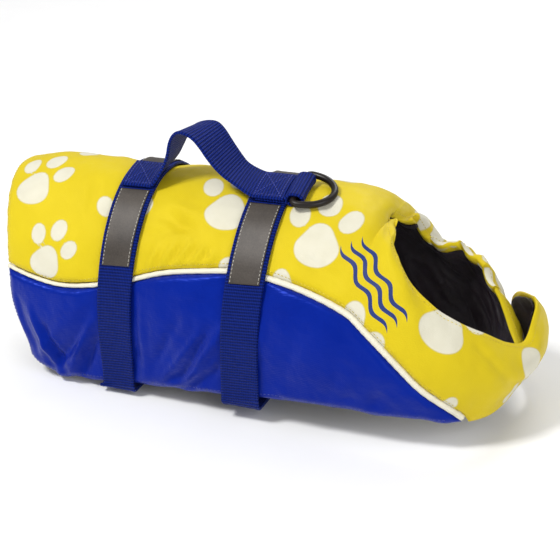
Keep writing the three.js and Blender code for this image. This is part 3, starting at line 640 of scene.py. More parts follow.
def finish_with(tree, colour, relief, strength, depth_mm, surface):
    """Ends a finish: its colour, its relief with a real depth, and the values of its surface."""
    bump = add_node(tree, "ShaderNodeBump", {
        "Strength": strength, "Distance": depth_mm * MM, "Height": relief})
    shader = add_node(tree, "ShaderNodeBsdfPrincipled", {
        "Base Color": colour, "Normal": bump.outputs[0], **surface})
    add_node(tree, "ShaderNodeOutputMaterial", {"Surface": shader.outputs[0]})


# %% [markdown]
# The yellow cloth is nylon oxford with a thin polyurethane coat: a plain weave of 0.4 mm threads
# under a faint gloss. Its weave is drawn at 1 mm so that the picture can show it. The white of
# the paws is screen ink with a slightly uneven edge, and the waves are drawn in blue ink.

# %% Printed nylon oxford
printed_nylon, tree = new_finish("printed_nylon_oxford")
cloth = add_node(tree, "ShaderNodeMix", {
    "Factor": soft_blotches(tree, 30), "A": linear("#C8B01A"), "B": linear("#D6C022")}, data_type="RGBA")
paw = add_node(tree, "ShaderNodeAttribute", attribute_name="paw_mm")
edge = add_node(tree, "ShaderNodeMath", {
    0: soft_blotches(tree, 1.6), 1: 0.25, 2: paw.outputs["Fac"]}, operation="MULTIPLY_ADD")
print_ink = add_node(tree, "ShaderNodeMapRange", {
    "Value": edge.outputs[0], "From Min": 0.28, "From Max": -0.18, "To Min": 0.0, "To Max": 1.0})
from_edge = add_node(tree, "ShaderNodeMath", {0: edge.outputs[0]}, operation="ABSOLUTE")
outline = add_node(tree, "ShaderNodeMapRange", {
    "Value": from_edge.outputs[0], "From Min": 0.55, "From Max": 0.15, "To Min": 0.0, "To Max": 0.55})
ink = add_node(tree, "ShaderNodeMix", {
    "Factor": soft_blotches(tree, 9), "A": linear("#CDC9B5"), "B": linear("#D9D6C6")}, data_type="RGBA")
inked = add_node(tree, "ShaderNodeMix", {
    "Factor": print_ink.outputs[0], "A": cloth.outputs["Result"], "B": ink.outputs["Result"]},
    data_type="RGBA")
lined = add_node(tree, "ShaderNodeMix", {
    "Factor": outline.outputs[0], "A": inked.outputs["Result"], "B": linear("#BDB060")}, data_type="RGBA")

# Each wave is a thin band round a sine line. The bands taper to a point at both ends.
wave_x = add_node(tree, "ShaderNodeAttribute", attribute_name="wave_along").outputs["Fac"]
wave_y = add_node(tree, "ShaderNodeAttribute", attribute_name="wave_across").outputs["Fac"]
phase = add_node(tree, "ShaderNodeMath", {0: wave_x, 1: 2 * math.pi / WAVES["pitch"]}, operation="MULTIPLY")
swing = add_node(tree, "ShaderNodeMath", {0: phase.outputs[0]}, operation="SINE")
height = add_node(tree, "ShaderNodeMath", {
    0: swing.outputs[0], 1: -WAVES["bow"], 2: wave_y}, operation="MULTIPLY_ADD")
repeated = add_node(tree, "ShaderNodeMath", {
    0: height.outputs[0], 1: WAVES["gap"] / 2, 2: -WAVES["gap"] / 2}, operation="WRAP")
from_line, from_middle, from_band = (
    add_node(tree, "ShaderNodeMath", {0: place}, operation="ABSOLUTE").outputs[0]
    for place in (repeated.outputs[0], wave_x, height.outputs[0]))
taper = add_node(tree, "ShaderNodeMapRange", {
    "Value": from_middle, "From Min": WAVES["length"] / 2 - WAVES["taper"], "From Max": WAVES["length"] / 2,
    "To Min": WAVES["half"], "To Max": 0.0})
limits = ((from_line, taper.outputs[0]), (from_band, 1.5 * WAVES["gap"]), (from_middle, WAVES["length"] / 2))
wave_ink = 1.0
for distance, limit in limits:
    inside = add_node(tree, "ShaderNodeMath", {0: distance, 1: limit}, operation="LESS_THAN")
    both = add_node(tree, "ShaderNodeMath", {0: inside.outputs[0], 1: wave_ink}, operation="MULTIPLY")
    wave_ink = both.outputs[0]
coloured = add_node(tree, "ShaderNodeMix", {
    "Factor": wave_ink, "A": lined.outputs["Result"], "B": linear("#1C3478")}, data_type="RGBA")

warp, weft = thread_pattern(tree, 1.0, 1.0)
weave = add_node(tree, "ShaderNodeMath", {0: warp, 1: weft}, operation="MULTIPLY")
crinkle = soft_blotches(tree, 5, 4, 0.55)
relief = add_node(tree, "ShaderNodeMath", {0: crinkle, 1: 2.2, 2: weave.outputs[0]}, operation="MULTIPLY_ADD")
gloss = add_node(tree, "ShaderNodeMapRange", {
    "Value": crinkle, "From Min": 0.3, "From Max": 0.7, "To Min": 0.42, "To Max": 0.56})
finish_with(tree, coloured.outputs["Result"], relief.outputs[0], 0.22, 0.3, {
    "Roughness": gloss.outputs[0], "Specular IOR Level": 0.3, "Specular Tint": linear("#FFE97A")})

# %% [markdown]
# The blue cloth is a satin-faced nylon. Its long floating threads give broad bright streaks on
# every ridge, so its roughness is low. Its highlights are tinted blue, as dyed floats are.

# %% Satin nylon, webbing and tape
satin_nylon, tree = new_finish("satin_nylon")
cloth = add_node(tree, "ShaderNodeMix", {
    "Factor": soft_blotches(tree, 26), "A": linear("#051B7B"), "B": linear("#09248D")}, data_type="RGBA")
warp, weft = thread_pattern(tree, 0.9, 1.3)
relief = add_node(tree, "ShaderNodeMath", {
    0: soft_blotches(tree, 7, 4, 0.5), 1: 40.0, 2: weft}, operation="MULTIPLY_ADD")
finish_with(tree, cloth.outputs["Result"], relief.outputs[0], 0.2, 0.1, {
    "Roughness": 0.32, "Specular IOR Level": 0.5, "Specular Tint": linear("#4666F0"),
    "Sheen Weight": 0.05, "Sheen Roughness": 0.35, "Sheen Tint": linear("#5B74E8")})

# Ribbed nylon webbing: a heavy plain weave whose picks stand up in rows 1.9 mm apart.
# Its colour is painted darker in the grooves between the raised picks, as painted shade, and varies in soft
# blotches.
ribbed_webbing, tree = new_finish("ribbed_nylon_webbing")
warp, weft = thread_pattern(tree, 1.15, 1.9)
half_step = add_node(tree, "ShaderNodeMath", {0: warp, 1: 0.45, 2: weft}, operation="MULTIPLY_ADD")
tone = add_node(tree, "ShaderNodeMapRange", {
    "Value": half_step.outputs[0], "From Min": -1.2, "From Max": 1.35, "To Min": 0.0, "To Max": 1.0})
# Painted shade: the low places of the weave, the same ones the relief sinks, take the darker blue; soft
# blotches vary it at random.
blotches_and_groove_shade = add_node(tree, "ShaderNodeMath", {
    0: soft_blotches(tree, 12), 1: 0.3, 2: tone.outputs[0]}, operation="MULTIPLY_ADD")
cloth = add_node(tree, "ShaderNodeMix", {
    "Factor": blotches_and_groove_shade.outputs[0], "A": linear("#03092C"), "B": linear("#12267A")}, data_type="RGBA")
finish_with(tree, cloth.outputs["Result"], half_step.outputs[0], 0.7, 0.5, {
    "Roughness": 0.58, "Specular IOR Level": 0.4, "Specular Tint": linear("#4A62D0"),
    "Sheen Weight": 0.06, "Sheen Roughness": 0.5, "Sheen Tint": linear("#4A60D8")})

# Glass-bead reflective tape: a grey fabric full of tiny glass beads, dull silver by daylight.
bead_tape, tree = new_finish("glass_bead_tape")
beads = soft_blotches(tree, 0.9, 2, 0.6)
tone = add_node(tree, "ShaderNodeMath", {0: beads, 1: soft_blotches(tree, 14)}, operation="ADD")
tone_range = add_node(tree, "ShaderNodeMapRange", {
    "Value": tone.outputs[0], "From Min": 0.7, "From Max": 1.3, "To Min": 0.0, "To Max": 1.0})
cloth = add_node(tree, "ShaderNodeMix", {
    "Factor": tone_range.outputs[0], "A": linear("#302A25"), "B": linear("#443D36")}, data_type="RGBA")
finish_with(tree, cloth.outputs["Result"], beads, 0.25, 0.2, {
    "Roughness": 0.5, "Metallic": 0.2, "Specular IOR Level": 0.5})

# %% [markdown]
# The piping is a matt cotton twill. The lining is a thin black taffeta that creases sharply and
# shines a little; its colour is painted lighter on the raised creases, a painted sheen. Thread
# shows the twist of its plies, with painted shade in the grooves between them. The ring and the
# buckles are moulded acetal, nearly black, with a skin that is a little uneven in gloss.

# %% Piping, lining, thread and plastic
bias_piping, tree = new_finish("cotton_bias_piping")
warp, weft = thread_pattern(tree, 1.3, 1.3)
twill = add_node(tree, "ShaderNodeMath", {0: warp, 1: weft}, operation="ADD")
cloth = add_node(tree, "ShaderNodeMix", {
    "Factor": soft_blotches(tree, 10), "A": linear("#DAD5BE"), "B": linear("#E9E5D2")}, data_type="RGBA")
finish_with(tree, cloth.outputs["Result"], twill.outputs[0], 0.3, 0.2, {
    "Roughness": 0.7, "Sheen Weight": 0.2})

lining_nylon, tree = new_finish("black_lining_taffeta")
creases_and_sheen = soft_blotches(tree, 6, 4, 0.55)
warp, weft = thread_pattern(tree, 1.0, 1.0)
weave = add_node(tree, "ShaderNodeMath", {0: warp, 1: weft}, operation="MULTIPLY")
relief = add_node(tree, "ShaderNodeMath", {
    0: creases_and_sheen, 1: 6.0, 2: weave.outputs[0]}, operation="MULTIPLY_ADD")
# The colour is lighter where the creases stand up: a painted sheen on the crease tops.
cloth = add_node(tree, "ShaderNodeMix", {
    "Factor": creases_and_sheen, "A": linear("#0F060E"), "B": linear("#20121E")}, data_type="RGBA")
finish_with(tree, cloth.outputs["Result"], relief.outputs[0], 0.5, 0.5, {
    "Roughness": 0.42, "Specular IOR Level": 0.35, "Sheen Weight": 0.05, "Sheen Tint": linear("#8A7088")})


def thread_finish(name, colour, shade):
    """Bonded polyester sewing thread, with the twist of its plies every 0.8 mm. The grooves between the plies
    are painted in the darker shade colour, as painted shade.
    """
    made, tree = new_finish(name)
    place = add_node(tree, "ShaderNodeTexCoord")
    twist = add_node(tree, "ShaderNodeTexWave", {
        "Vector": place.outputs["Object"], "Scale": 1 / (0.8 * MM * 3.1), "Distortion": 0.5},
        bands_direction="DIAGONAL")
    # The grooves of the twist take the darker colour: painted shade between the plies.
    tone = add_node(tree, "ShaderNodeMix", {
        "Factor": twist.outputs["Fac"], "A": linear(shade), "B": linear(colour)}, data_type="RGBA")
    finish_with(tree, tone.outputs["Result"], twist.outputs["Fac"], 0.3, 0.1, {
        "Roughness": 0.5, "Sheen Weight": 0.2})
    return made


yellow_thread = thread_finish("yellow_polyester_thread", "#E2CB2A", "#A08C14")
blue_thread = thread_finish("blue_polyester_thread", "#2B3DAA", "#121C66")
pale_thread = thread_finish("pale_polyester_thread", "#CFCBC2", "#8B867C")

moulded_acetal, tree = new_finish("moulded_acetal")
pores = soft_blotches(tree, 0.8, 3, 0.6)
worn = soft_blotches(tree, 7)
tone = add_node(tree, "ShaderNodeMix", {
    "Factor": worn, "A": linear("#0B0705"), "B": linear("#1A110B")}, data_type="RGBA")
gloss = add_node(tree, "ShaderNodeMapRange", {
    "Value": worn, "From Min": 0.3, "From Max": 0.7, "To Min": 0.3, "To Max": 0.45})
finish_with(tree, tone.outputs["Result"], pores, 0.12, 0.1, {
    "Roughness": gloss.outputs[0], "Specular IOR Level": 0.35})
print(len(bpy.data.materials), "finishes")


# %% [markdown]
# The yellow upper is one padded panel: two sides that meet on the spine, run forward round the
# neck opening and close over each other at the chest. Its two faces share their points along
# every edge, so the panel is one closed body with a rolled rim, as sewn and turned cloth is.

# %% Edges of the panels
def tree_of(lines):
    points = np.concatenate(lines)
    made = kdtree.KDTree(len(points))
    for i, point in enumerate(points):
        made.insert(Vector(point), i)
    made.balance()
    return made


def away_from(points, edge_tree):
    flat = points.reshape(-1, 3)
    return np.array([edge_tree.find(Vector(p))[2] for p in flat]).reshape(points.shape[:-1])


def down_line(station, low, high, side):
    return form(np.array([station]), np.linspace(low, high, 160)[None], side)[0]


def along_line(low, high, share_of, side):
    stations = np.linspace(low, high, 700)
    return form(stations, np.asarray(share_of(stations)).reshape(-1, 1), side)[:, 0]


STRAPS = {"rear": -46.5, "front": 40.5}
STRAP_LEAN, WEBBING_WIDTH = 3.0, 25.0
FOAM_SWELL, FOAM_PRESS = 1.5, 0.5
spine_x = ribs_at(np.linspace(0, NAPE, 2001), NEAR)[:, 0]


def station_at_x(x):
    return np.interp(x, spine_x, np.linspace(0, NAPE, 2001))


def puff(stations, shares, points):
    """The foam swells between the straps and is pressed in under them."""
    x = points[..., 0] - STRAP_LEAN * (1 - shares)
    away = np.minimum(*(np.abs(x - place) for place in STRAPS.values()))
    swell = FOAM_SWELL * smooth(away, 13.5, 30) * (1 - smooth(stations, 13.5, 15.5))[:, None]
    press = FOAM_PRESS * np.exp(-((away - 11) / 5) ** 2) * (stations < NAPE + 2)[:, None]
    return press - swell


# %% Yellow upper panel
def panel_faces(stations, shares, side, edge_tree, seam_tree, seam_roll, seed):
    """The outer and the inner face of a padded panel and the form, as grids of points."""
    surface = form(stations, shares, side)
    out = form_normal(stations, shares, side)
    wall = wall_at(stations)[:, None] * np.ones_like(shares)
    lie = sink(stations, side)[:, None]
    edge, seam = away_from(surface, edge_tree), away_from(surface, seam_tree)
    roll = np.maximum(rolled(edge, wall, EDGE_ROLL), rolled(seam, wall, seam_roll))
    calm = smooth(np.minimum(edge, seam + 1.5), 0, 6)
    folds = crease_depth(surface, side) + fold_depth(stations, surface, side)
    rumple = (0.8 * soft_noise(surface, 32, seed + 6) + 0.75 * soft_noise(surface, 15, seed)
              + 0.25 * soft_noise(surface, 6, seed + 3))
    swell = puff(stations, shares, surface)
    near_edge = smooth(np.minimum(edge, seam), 0, 3)
    outer_depth = lie + roll + folds * (0.45 + 0.55 * near_edge) + (rumple + swell) * calm
    inner_depth = lie + np.maximum(wall - roll, 0)
    shared = (np.minimum(edge, seam) < 0.02)
    middle = lie + wall / 2 + folds * 0.45
    outer_depth = np.where(shared, middle, np.minimum(outer_depth, lie + wall - 0.5))
    inner_depth = np.where(shared, middle, inner_depth + np.where(edge < 6, folds * 0.45 * (1 - edge / 6), 0))
    return surface - out * outer_depth[..., None], surface - out * inner_depth[..., None], surface


back_stations = np.concatenate([EDGE_ROWS / 20, np.arange(0.44, 9.55, 0.09), np.linspace(9.58, 10, 8)])


def wing_stations(end):
    tail = end - EDGE_ROWS[::-1] / 17
    return np.concatenate([np.linspace(10, 10.6, 14), np.arange(10.68, tail[0] - 0.04, 0.085), tail])


STATION_MM = 19.0
SIDE_ENDS = ((NEAR, NEAR_END), (FAR, FAR_END))


def cloth_map(stations, shares, down_mm):
    """The flat map of a grid: millimetres along the jacket and down from its top."""
    return np.stack(np.broadcast_arrays(stations[:, None] * STATION_MM, shares * down_mm), -1)


neck_line = {side: along_line(NAPE, end, np.zeros_like, side) for side, end in SIDE_ENDS}
rear_line = {side: down_line(0, 0, 1, side) for side in (NEAR, FAR)}
columns = spaced(82, 2.0)
points, faces, marks, maps = [], [], {"paw_mm": [], "wave_along": [], "wave_across": []}, []
start = 0
for side, end in SIDE_ENDS:
    stations = np.concatenate([back_stations, wing_stations(end)[1:]])
    shares = upper_edge(stations)[:, None] * columns[None]
    edge_tree = tree_of([neck_line[side], neck_line[-side][:60], rear_line[NEAR], rear_line[FAR],
                         down_line(end, 0, 1, side), along_line(TIP_STATION + 0.3, end, np.ones_like, side)])
    seam_tree = tree_of([along_line(0, TIP_STATION + 0.3, upper_edge, side)])
    outer, inner, surface = panel_faces(stations, shares, side, edge_tree, seam_tree, YELLOW_SEAM_ROLL, 1)
    shared = np.zeros(shares.shape, bool)
    shared[0], shared[-1], shared[:, -1] = True, True, True
    shared[stations >= NAPE, 0] = True
    grid, outer_index, inner_index, own = closed_pair(outer, inner, shared)
    outer_index, inner_index = outer_index + start, inner_index + start
    on_spine = np.where(stations <= NAPE)[0]
    if side == NEAR:
        spine_points = outer_index[on_spine, 0].copy(), inner_index[on_spine, 0].copy()
    outer_index[on_spine, 0], inner_index[on_spine, 0] = spine_points
    faces += grid_faces(outer_index, side == NEAR) + grid_faces(inner_index, side == FAR)
    points.append(grid)
    start += len(grid)
    flat = cloth_map(stations, shares, side * length_at(stations)[:, None])
    maps.append(np.concatenate([flat.reshape(-1, 2), flat[own]]))
    paws = paw_distance(surface, side)
    waves = wave_place(surface) if side == NEAR else (np.full(shares.shape, NO_WAVE),) * 2
    # On the turned-in face the prints stop short of the rim.
    facing = np.maximum(paws, 0.9 * (1.5 - away_from(surface, edge_tree)))
    marks["paw_mm"].append(np.concatenate([paws.ravel(), facing[own]]))
    for mark, values in zip(("wave_along", "wave_across"), waves):
        marks[mark].append(np.concatenate([values.ravel(), np.full(own.sum(), NO_WAVE)]))


def without_loose(points, faces, maps, marks):
    """Leaves out the points that no face uses."""
    used = np.unique(np.concatenate([np.asarray(f) for f in faces]))
    number = np.full(len(points), -1)
    number[used] = np.arange(len(used))
    faces = [tuple(number[list(f)]) for f in faces]
    return points[used], faces, maps[used], {k: v[used] for k, v in marks.items()}


points, faces, maps, marks = without_loose(
    np.concatenate(points), faces, np.concatenate(maps), {k: np.concatenate(v) for k, v in marks.items()})
upper = make_piece("upper_padded_panel", points, faces, printed_nylon, maps, marks)
seat(upper, "yellow_nylon", "upper_panel")

# %% [markdown]
# Each blue side panel lies between the piping and the hem, from the rear edge to a long front
# tip. It is softer than the upper, so its folds are deeper, and its hem is drawn up unevenly.

# %% Blue side panels
side_stations = np.concatenate([EDGE_ROWS / 20, np.arange(0.43, 14.6, 0.085), 15.1 - EDGE_ROWS[::-1] / 16])
side_columns = spaced(72, 1.9)


def hem_wave(stations, side):
    """How far the hem is drawn up or hangs down, in millimetres."""
    s = stations + (0.35 if side == FAR else 0)
    gather = 1.1 * np.sin(s * 5.2) * np.exp(-((s - 1.9) / 1.3) ** 2)
    gather += 0.9 * np.sin(s * 5.6 + 1) * np.exp(-((s - 5.6) / 0.9) ** 2)
    return gather + 0.35 * np.sin(s * 2.3 + 0.6) + 0.25 * np.sin(s * 4.1)


for name, side in (("near", NEAR), ("far", FAR)):
    upper_share = lower_edge(side_stations)[:, None]
    shares = upper_share + (1 - upper_share) * side_columns[None]
    edge_tree = tree_of([down_line(0, 0, 1, side), along_line(0, TIP_STATION, np.ones_like, side)])
    seam_tree = tree_of([along_line(0, TIP_STATION, lower_edge, side)])
    outer, inner, _ = panel_faces(side_stations, shares, side, edge_tree, seam_tree, BLUE_SEAM_ROLL, 5)
    drop = hem_wave(side_stations, side)[:, None] * smooth(shares, 0.85, 1.0)
    drop *= smooth(side_stations, 0, 0.6)[:, None]
    outer[..., 2] -= drop
    inner[..., 2] -= drop
    shared = np.zeros(shares.shape, bool)
    shared[0], shared[-1], shared[:, 0], shared[:, -1] = True, True, True, True
    grid, outer_index, inner_index, own = closed_pair(outer, inner, shared)
    faces = grid_faces(outer_index, side == NEAR) + grid_faces(inner_index, side == FAR)
    flat = cloth_map(side_stations, shares, length_at(side_stations)[:, None])
    panel = make_piece(f"side_padded_panel_{name}", grid, faces, satin_nylon,
                       np.concatenate([flat.reshape(-1, 2), flat[own]]))
    seat(panel, "blue_nylon", f"side_panel_{name}")


# %% [markdown]
# The piping is a cord wrapped in a bias strip and sewn into the seam. It is swept as a tube
# along the seam and grows a little fuller towards the front, where the strip is less stretched.

# %% Piping in the seam
def frames_along(line, closed):
    """Unit directions along a line, and two across it that turn as little as possible."""
    along = np.roll(line, -1, 0) - np.roll(line, 1, 0) if closed else np.gradient(line, axis=0)
    along /= np.linalg.norm(along, axis=1, keepdims=True)
    across = np.cross(np.tile((0, 0.2, 1.0), (len(line), 1)), along)
    across /= np.linalg.norm(across, axis=1, keepdims=True)
    return along, across, np.cross(along, across)


def run_of(line):
    """How far along a line each of its points is."""
    return np.concatenate([[0], np.cumsum(np.linalg.norm(np.diff(line, axis=0), axis=1))])


def ring_faces(count, size, closed=False):
    """Four-sided faces between rings of points that follow each other."""
    faces = []
    for i in range(count if closed else count - 1):
        j = (i + 1) % count
        for k in range(size):
            n = (k + 1) % size
            faces.append((i * size + k, j * size + k, j * size + n, i * size + n))
    return faces


def tube_mesh(line, radii, sides, closed=False):
    """Points, faces and flat map of a round tube with domed ends along a line."""
    line, radii = np.asarray(line, float), np.asarray(radii, float)
    along, across, up = frames_along(line, closed)
    turns = np.linspace(0, 2 * np.pi, sides, endpoint=False)
    ring = across[:, None] * np.cos(turns)[None, :, None] + up[:, None] * np.sin(turns)[None, :, None]
    points = (line[:, None] + ring * radii[:, None, None]).reshape(-1, 3)
    count = len(line)
    flat = np.stack(np.broadcast_arrays(turns * radii.mean(), run_of(line)[:, None]), -1).reshape(-1, 2)
    faces = ring_faces(count, sides, closed)
    if not closed:
        tips = np.stack([line[0] - along[0] * radii[0] * 0.5, line[-1] + along[-1] * radii[-1] * 0.5])
        base, last = len(points), (count - 1) * sides
        points = np.concatenate([points, tips])
        flat = np.concatenate([flat, flat[[0, last]]])
        for k in range(sides):
            n = (k + 1) % sides
            faces += [(base, k, n), (base + 1, last + n, last + k)]
    return points, faces, flat


piping_stations = np.linspace(0.04, 15.2, 420)
for name, side in (("near", NEAR), ("far", FAR)):
    radius = 1.45 + 0.65 * smooth(piping_stations, 2, 11) + 0.06 * np.sin(piping_stations * 21)
    depth = 2.0 - 0.3 * smooth(piping_stations, 2, 11)
    line = placed(piping_stations, seam_share(piping_stations)[:, None], side, depth[:, None])[:, 0]
    points, faces, flat = tube_mesh(line, radius, 12)
    piping = make_piece(f"piping_cord_{name}", points, faces, bias_piping, flat)
    seat(piping, "piping", f"piping_{name}")

# %% [markdown]
# The black lining backs the padding from hem to hem. It is one thin sheet that starts 7 to 9 mm
# inside the neck edge, where the yellow cloth is turned in and sewn down over it. On the end of
# the near flap it runs on to the rim. It hangs a little slack, so it is finely creased.

# %% Lining
LINING_THIN, LINING_DROP = 0.5, 150.0
LINING_PART = 9.65    # the station at the nape where its two sides part
FACING_MM = {NEAR: 9.0, FAR: 7.0}
HEM_INSET = 3.2
lining_columns = np.linspace(0, 1, 64)


def lining_grid(stations, side, start_mm):
    """The two faces of the lining over the given stations."""
    length = length_at(stations)
    low = start_mm / length
    shares = low[:, None] + (1 - HEM_INSET / length - low)[:, None] * lining_columns[None]
    surface, out = form(stations, shares, side), form_normal(stations, shares, side)
    drag = np.stack([surface[..., 0] + 0.6 * surface[..., 2], surface[..., 1], 0.35 * surface[..., 2]], -1)
    loose = 1.1 - 2.0 * np.abs(soft_noise(drag, 17, 8)) + 0.35 * soft_noise(surface, 6, 11)
    slack = 1.7 * np.clip(loose, 0, 1.4) * smooth((shares - low[:, None]) * length[:, None], 0, 6)
    slack *= smooth(1 - shares, 0.02, 0.08) * (1 - 0.55 * smooth(stations, 14.8, 17.5))[:, None]
    depth = (sink(stations, side) + wall_at(stations))[:, None] + 0.3 + slack
    return surface - out * depth[..., None], surface - out * (depth + LINING_THIN)[..., None], shares


points, faces, maps = [], [], []
start = 0
for side, end in SIDE_ENDS:
    stations = np.concatenate([np.linspace(0.12, 9.62, 110), np.linspace(9.68, end - 0.11, 140)])
    bare_mm = 1.4 + 0.8 * np.sin(stations * 9)
    start_mm = FACING_MM[side] + 0.8 * np.sin(stations * 7)
    start_mm += (bare_mm - start_mm) * smooth(stations, 18.2, 18.9) * (side == NEAR)
    start_mm = np.where(stations < LINING_PART, 0, start_mm)
    outer, inner, shares = lining_grid(stations, side, start_mm)
    rows, count = shares.shape
    outer_index = np.arange(rows * count).reshape(rows, count) + start
    inner_index = outer_index + rows * count
    on_spine = np.where(stations < LINING_PART)[0]
    if side == NEAR:
        spine_points = outer_index[on_spine, 0].copy(), inner_index[on_spine, 0].copy()
    outer_index[on_spine, 0], inner_index[on_spine, 0] = spine_points
    faces += grid_faces(outer_index, side == NEAR) + grid_faces(inner_index, side == FAR)
    rims = [(outer_index[0], inner_index[0]), (outer_index[-1], inner_index[-1]),
            (outer_index[:, -1], inner_index[:, -1]),
            (outer_index[on_spine[-1]:, 0], inner_index[on_spine[-1]:, 0])]
    for upper_row, lower_row in rims:
        faces += grid_faces(np.stack([upper_row, lower_row]), True)
    points += [outer.reshape(-1, 3), inner.reshape(-1, 3)]
    maps += [cloth_map(stations, shares, side * LINING_DROP).reshape(-1, 2)] * 2
    start += 2 * rows * count

points, faces, maps, _ = without_loose(np.concatenate(points), faces, np.concatenate(maps), {})
lining = make_piece("lining_cloth", points, faces, lining_nylon, maps)
seat(lining, "lining", "lining")


def cloth_area(made):
    """Half the surface of a thin closed sheet, in square metres."""
    return sum(p.area for p in made.data.polygons) / 2


print("lining area", round(cloth_area(lining), 4))

# %% [markdown]
# The webbing is woven flat, 25 mm wide, and only bends along its length. Each band is a strip
# with rounded selvedges, laid on the form across its whole width, so it follows the body and
# not a straight chord. The belly straps go right round and meet in a buckle under the belly.

# %% Webbing bands
WEBBING_WALL, STRAP_HEIGHT, LAYER_GAP = 1.6, 0.35, 0.5
BAND_SHARES = np.array([-1, -0.985, -0.94, -0.86, -0.7, -0.45, -0.15, 0.15, 0.45, 0.7, 0.86, 0.94, 0.985, 1])
BAND_HALF = np.array([0.12, 0.45, 0.62, 0.66, 0.5, 0.5, 0.5, 0.5, 0.5, 0.5, 0.66, 0.62, 0.45, 0.12])


def band_mesh(centre, out, wall, width, profile=BAND_HALF):
    """A flat woven band from rows of points across it (n, m, 3), with the way out of each."""
    half = (wall * profile)[None, :, None]
    upper, lower = centre + out * half, centre - out * half
    rows, count = centre.shape[:2]
    ring = np.concatenate([upper, lower[:, ::-1]], 1)
    size = 2 * count
    points = ring.reshape(-1, 3)
    middle = centre[:, count // 2]
    across = np.concatenate([BAND_SHARES, BAND_SHARES[::-1]]) * width / 2
    flat = np.stack(np.broadcast_arrays(across, run_of(middle)[:, None]), -1)
    faces = ring_faces(rows, size)
    last = (rows - 1) * size
    for k in range(count - 1):
        faces.append((k, k + 1, size - 2 - k, size - 1 - k))
        faces.append((last + k, last + size - 1 - k, last + size - 2 - k, last + k + 1))
    return points, faces, flat.reshape(-1, 2)


def on_body(x, width, downs, side, height):
    """Rows across a band that lies on the panels, and the way out of each."""
    downs = np.asarray(downs, float)
    centre, out = np.empty((2, len(downs), len(BAND_SHARES), 3))
    for k, share in enumerate(BAND_SHARES):
        stations = station_at_x(x + share * width / 2 + STRAP_LEAN * (1 - downs))
        surface = form(stations, downs[:, None], side)[:, 0]
        out[:, k] = form_normal(stations, downs[:, None], side)[:, 0]
        centre[:, k] = surface + out[:, k] * np.reshape(height, (-1,))[:, None]
    return centre, out


BELLY_DROP = {"rear": 1.8, "front": 5.5}
BELLY_SAG, BUCKLE_END = 0.48, 18.3


def belly_level(x, drop):
    """The height and the half distance apart at which a strap turns in under the belly."""
    station = station_at_x(np.array([x - WEBBING_WIDTH / 2]))
    hem = placed(station, np.array([[1.0]]), NEAR, np.array([[-STRAP_HEIGHT - WEBBING_WALL / 2]]))[0, 0]
    return -hem[1] + WEBBING_WALL / 2, hem[2] - drop


def belly_strap(x, drop):
    """Rows across a strap, from its near end at the buckle over the back to its far end."""
    half_apart, level = belly_level(x, drop)

    def under(side):
        """Rows from the buckle out to the side, and round the turn up to the panel."""
        rows = []
        for share in np.linspace(0, 1, 14)[:-1]:
            rows.append((BUCKLE_END + (half_apart - drop - BUCKLE_END) * share,
                         level - BELLY_SAG * math.sin(math.pi * share), 0.0))
        for turn in np.radians(np.arange(0, 84, 12)):
            rows.append((half_apart - drop + drop * math.sin(turn),
                         level + drop - drop * math.cos(turn), turn))
        y, z, turn = np.array(rows).T[:, :, None]
        centre = np.broadcast_arrays(x + BAND_SHARES * WEBBING_WIDTH / 2, side * y, z)
        out = np.broadcast_arrays(0 * BAND_SHARES, side * np.sin(turn), -np.cos(turn))
        return np.stack(centre, -1), np.stack(out, -1)

    downs = np.linspace(1, 0, 90)
    lift = np.full(90, STRAP_HEIGHT + WEBBING_WALL / 2)
    near_body, far_body = (on_body(x, WEBBING_WIDTH, downs, side, lift) for side in (NEAR, FAR))
    near_end, far_end = under(NEAR), under(FAR)
    return [np.concatenate([near_end[i], near_body[i], far_body[i][-2::-1], far_end[i][::-1]])
            for i in (0, 1)]


for name, x in STRAPS.items():
    centre, out = belly_strap(x, BELLY_DROP[name])
    points, faces, flat = band_mesh(centre, out, WEBBING_WALL, WEBBING_WIDTH)
    strap = make_piece(f"belly_webbing_{name}", points, faces, ribbed_webbing, flat)
    seat(strap, "webbing", f"belly_strap_{name}")
    length = np.linalg.norm(np.diff(centre[:, 7], axis=0), axis=1).sum()
    print(f"{name} strap length {length:.0f} mm")

# %% [markdown]
# A strip of reflective tape is sewn on each strap on both sides, from beside the handle's patch
# to about the piping. It is thinner than the webbing and slightly buckled between its two rows of
# stitches.

# %% Reflective tapes
TAPE_WIDTH, TAPE_WALL, CENTRE_ARC = 20.0, 0.5, 14.0
TAPE_REACH = {"rear": 78.0, "front": 80.0}
TAPE_LIFT = STRAP_HEIGHT + WEBBING_WALL + LAYER_GAP / 2 + TAPE_WALL / 2 + 0.15
tape_lines = []
for place_name, x in STRAPS.items():
    for name, side in (("near", NEAR), ("far", FAR)):
        length = length_at(station_at_x(x))
        first = max(WEBBING_WIDTH / 2 + 1.5 - side * CENTRE_ARC, 1.5)
        downs = np.linspace(first / length, TAPE_REACH[place_name] / length, 70)
        buckled = 0.12 * np.sin(downs * 41 + x) + 0.1 * np.sin(downs * 23)
        centre, out = on_body(x, TAPE_WIDTH, downs, side, TAPE_LIFT + np.maximum(buckled, -0.1))
        points, faces, flat = band_mesh(centre, out, TAPE_WALL, TAPE_WIDTH, BAND_HALF * 0.9)
        tape = make_piece(f"reflective_tape_{place_name}_{name}", points, faces, bead_tape, flat)
        seat(tape, "reflective_tape", f"tape_{place_name}_{name}")
        top = centre + out * 0.3
        tape_lines += [top[2:-2, 1] * 0.4 + top[2:-2, 3] * 0.6, top[2:-2, -2] * 0.4 + top[2:-2, -4] * 0.6]

# %% [markdown]
# The handle is webbing too. Its two ends lie flat and are sewn across the straps, a little to
# the near side of the spine. Between them it stands up in an arch that has taken a twist from
# being carried.

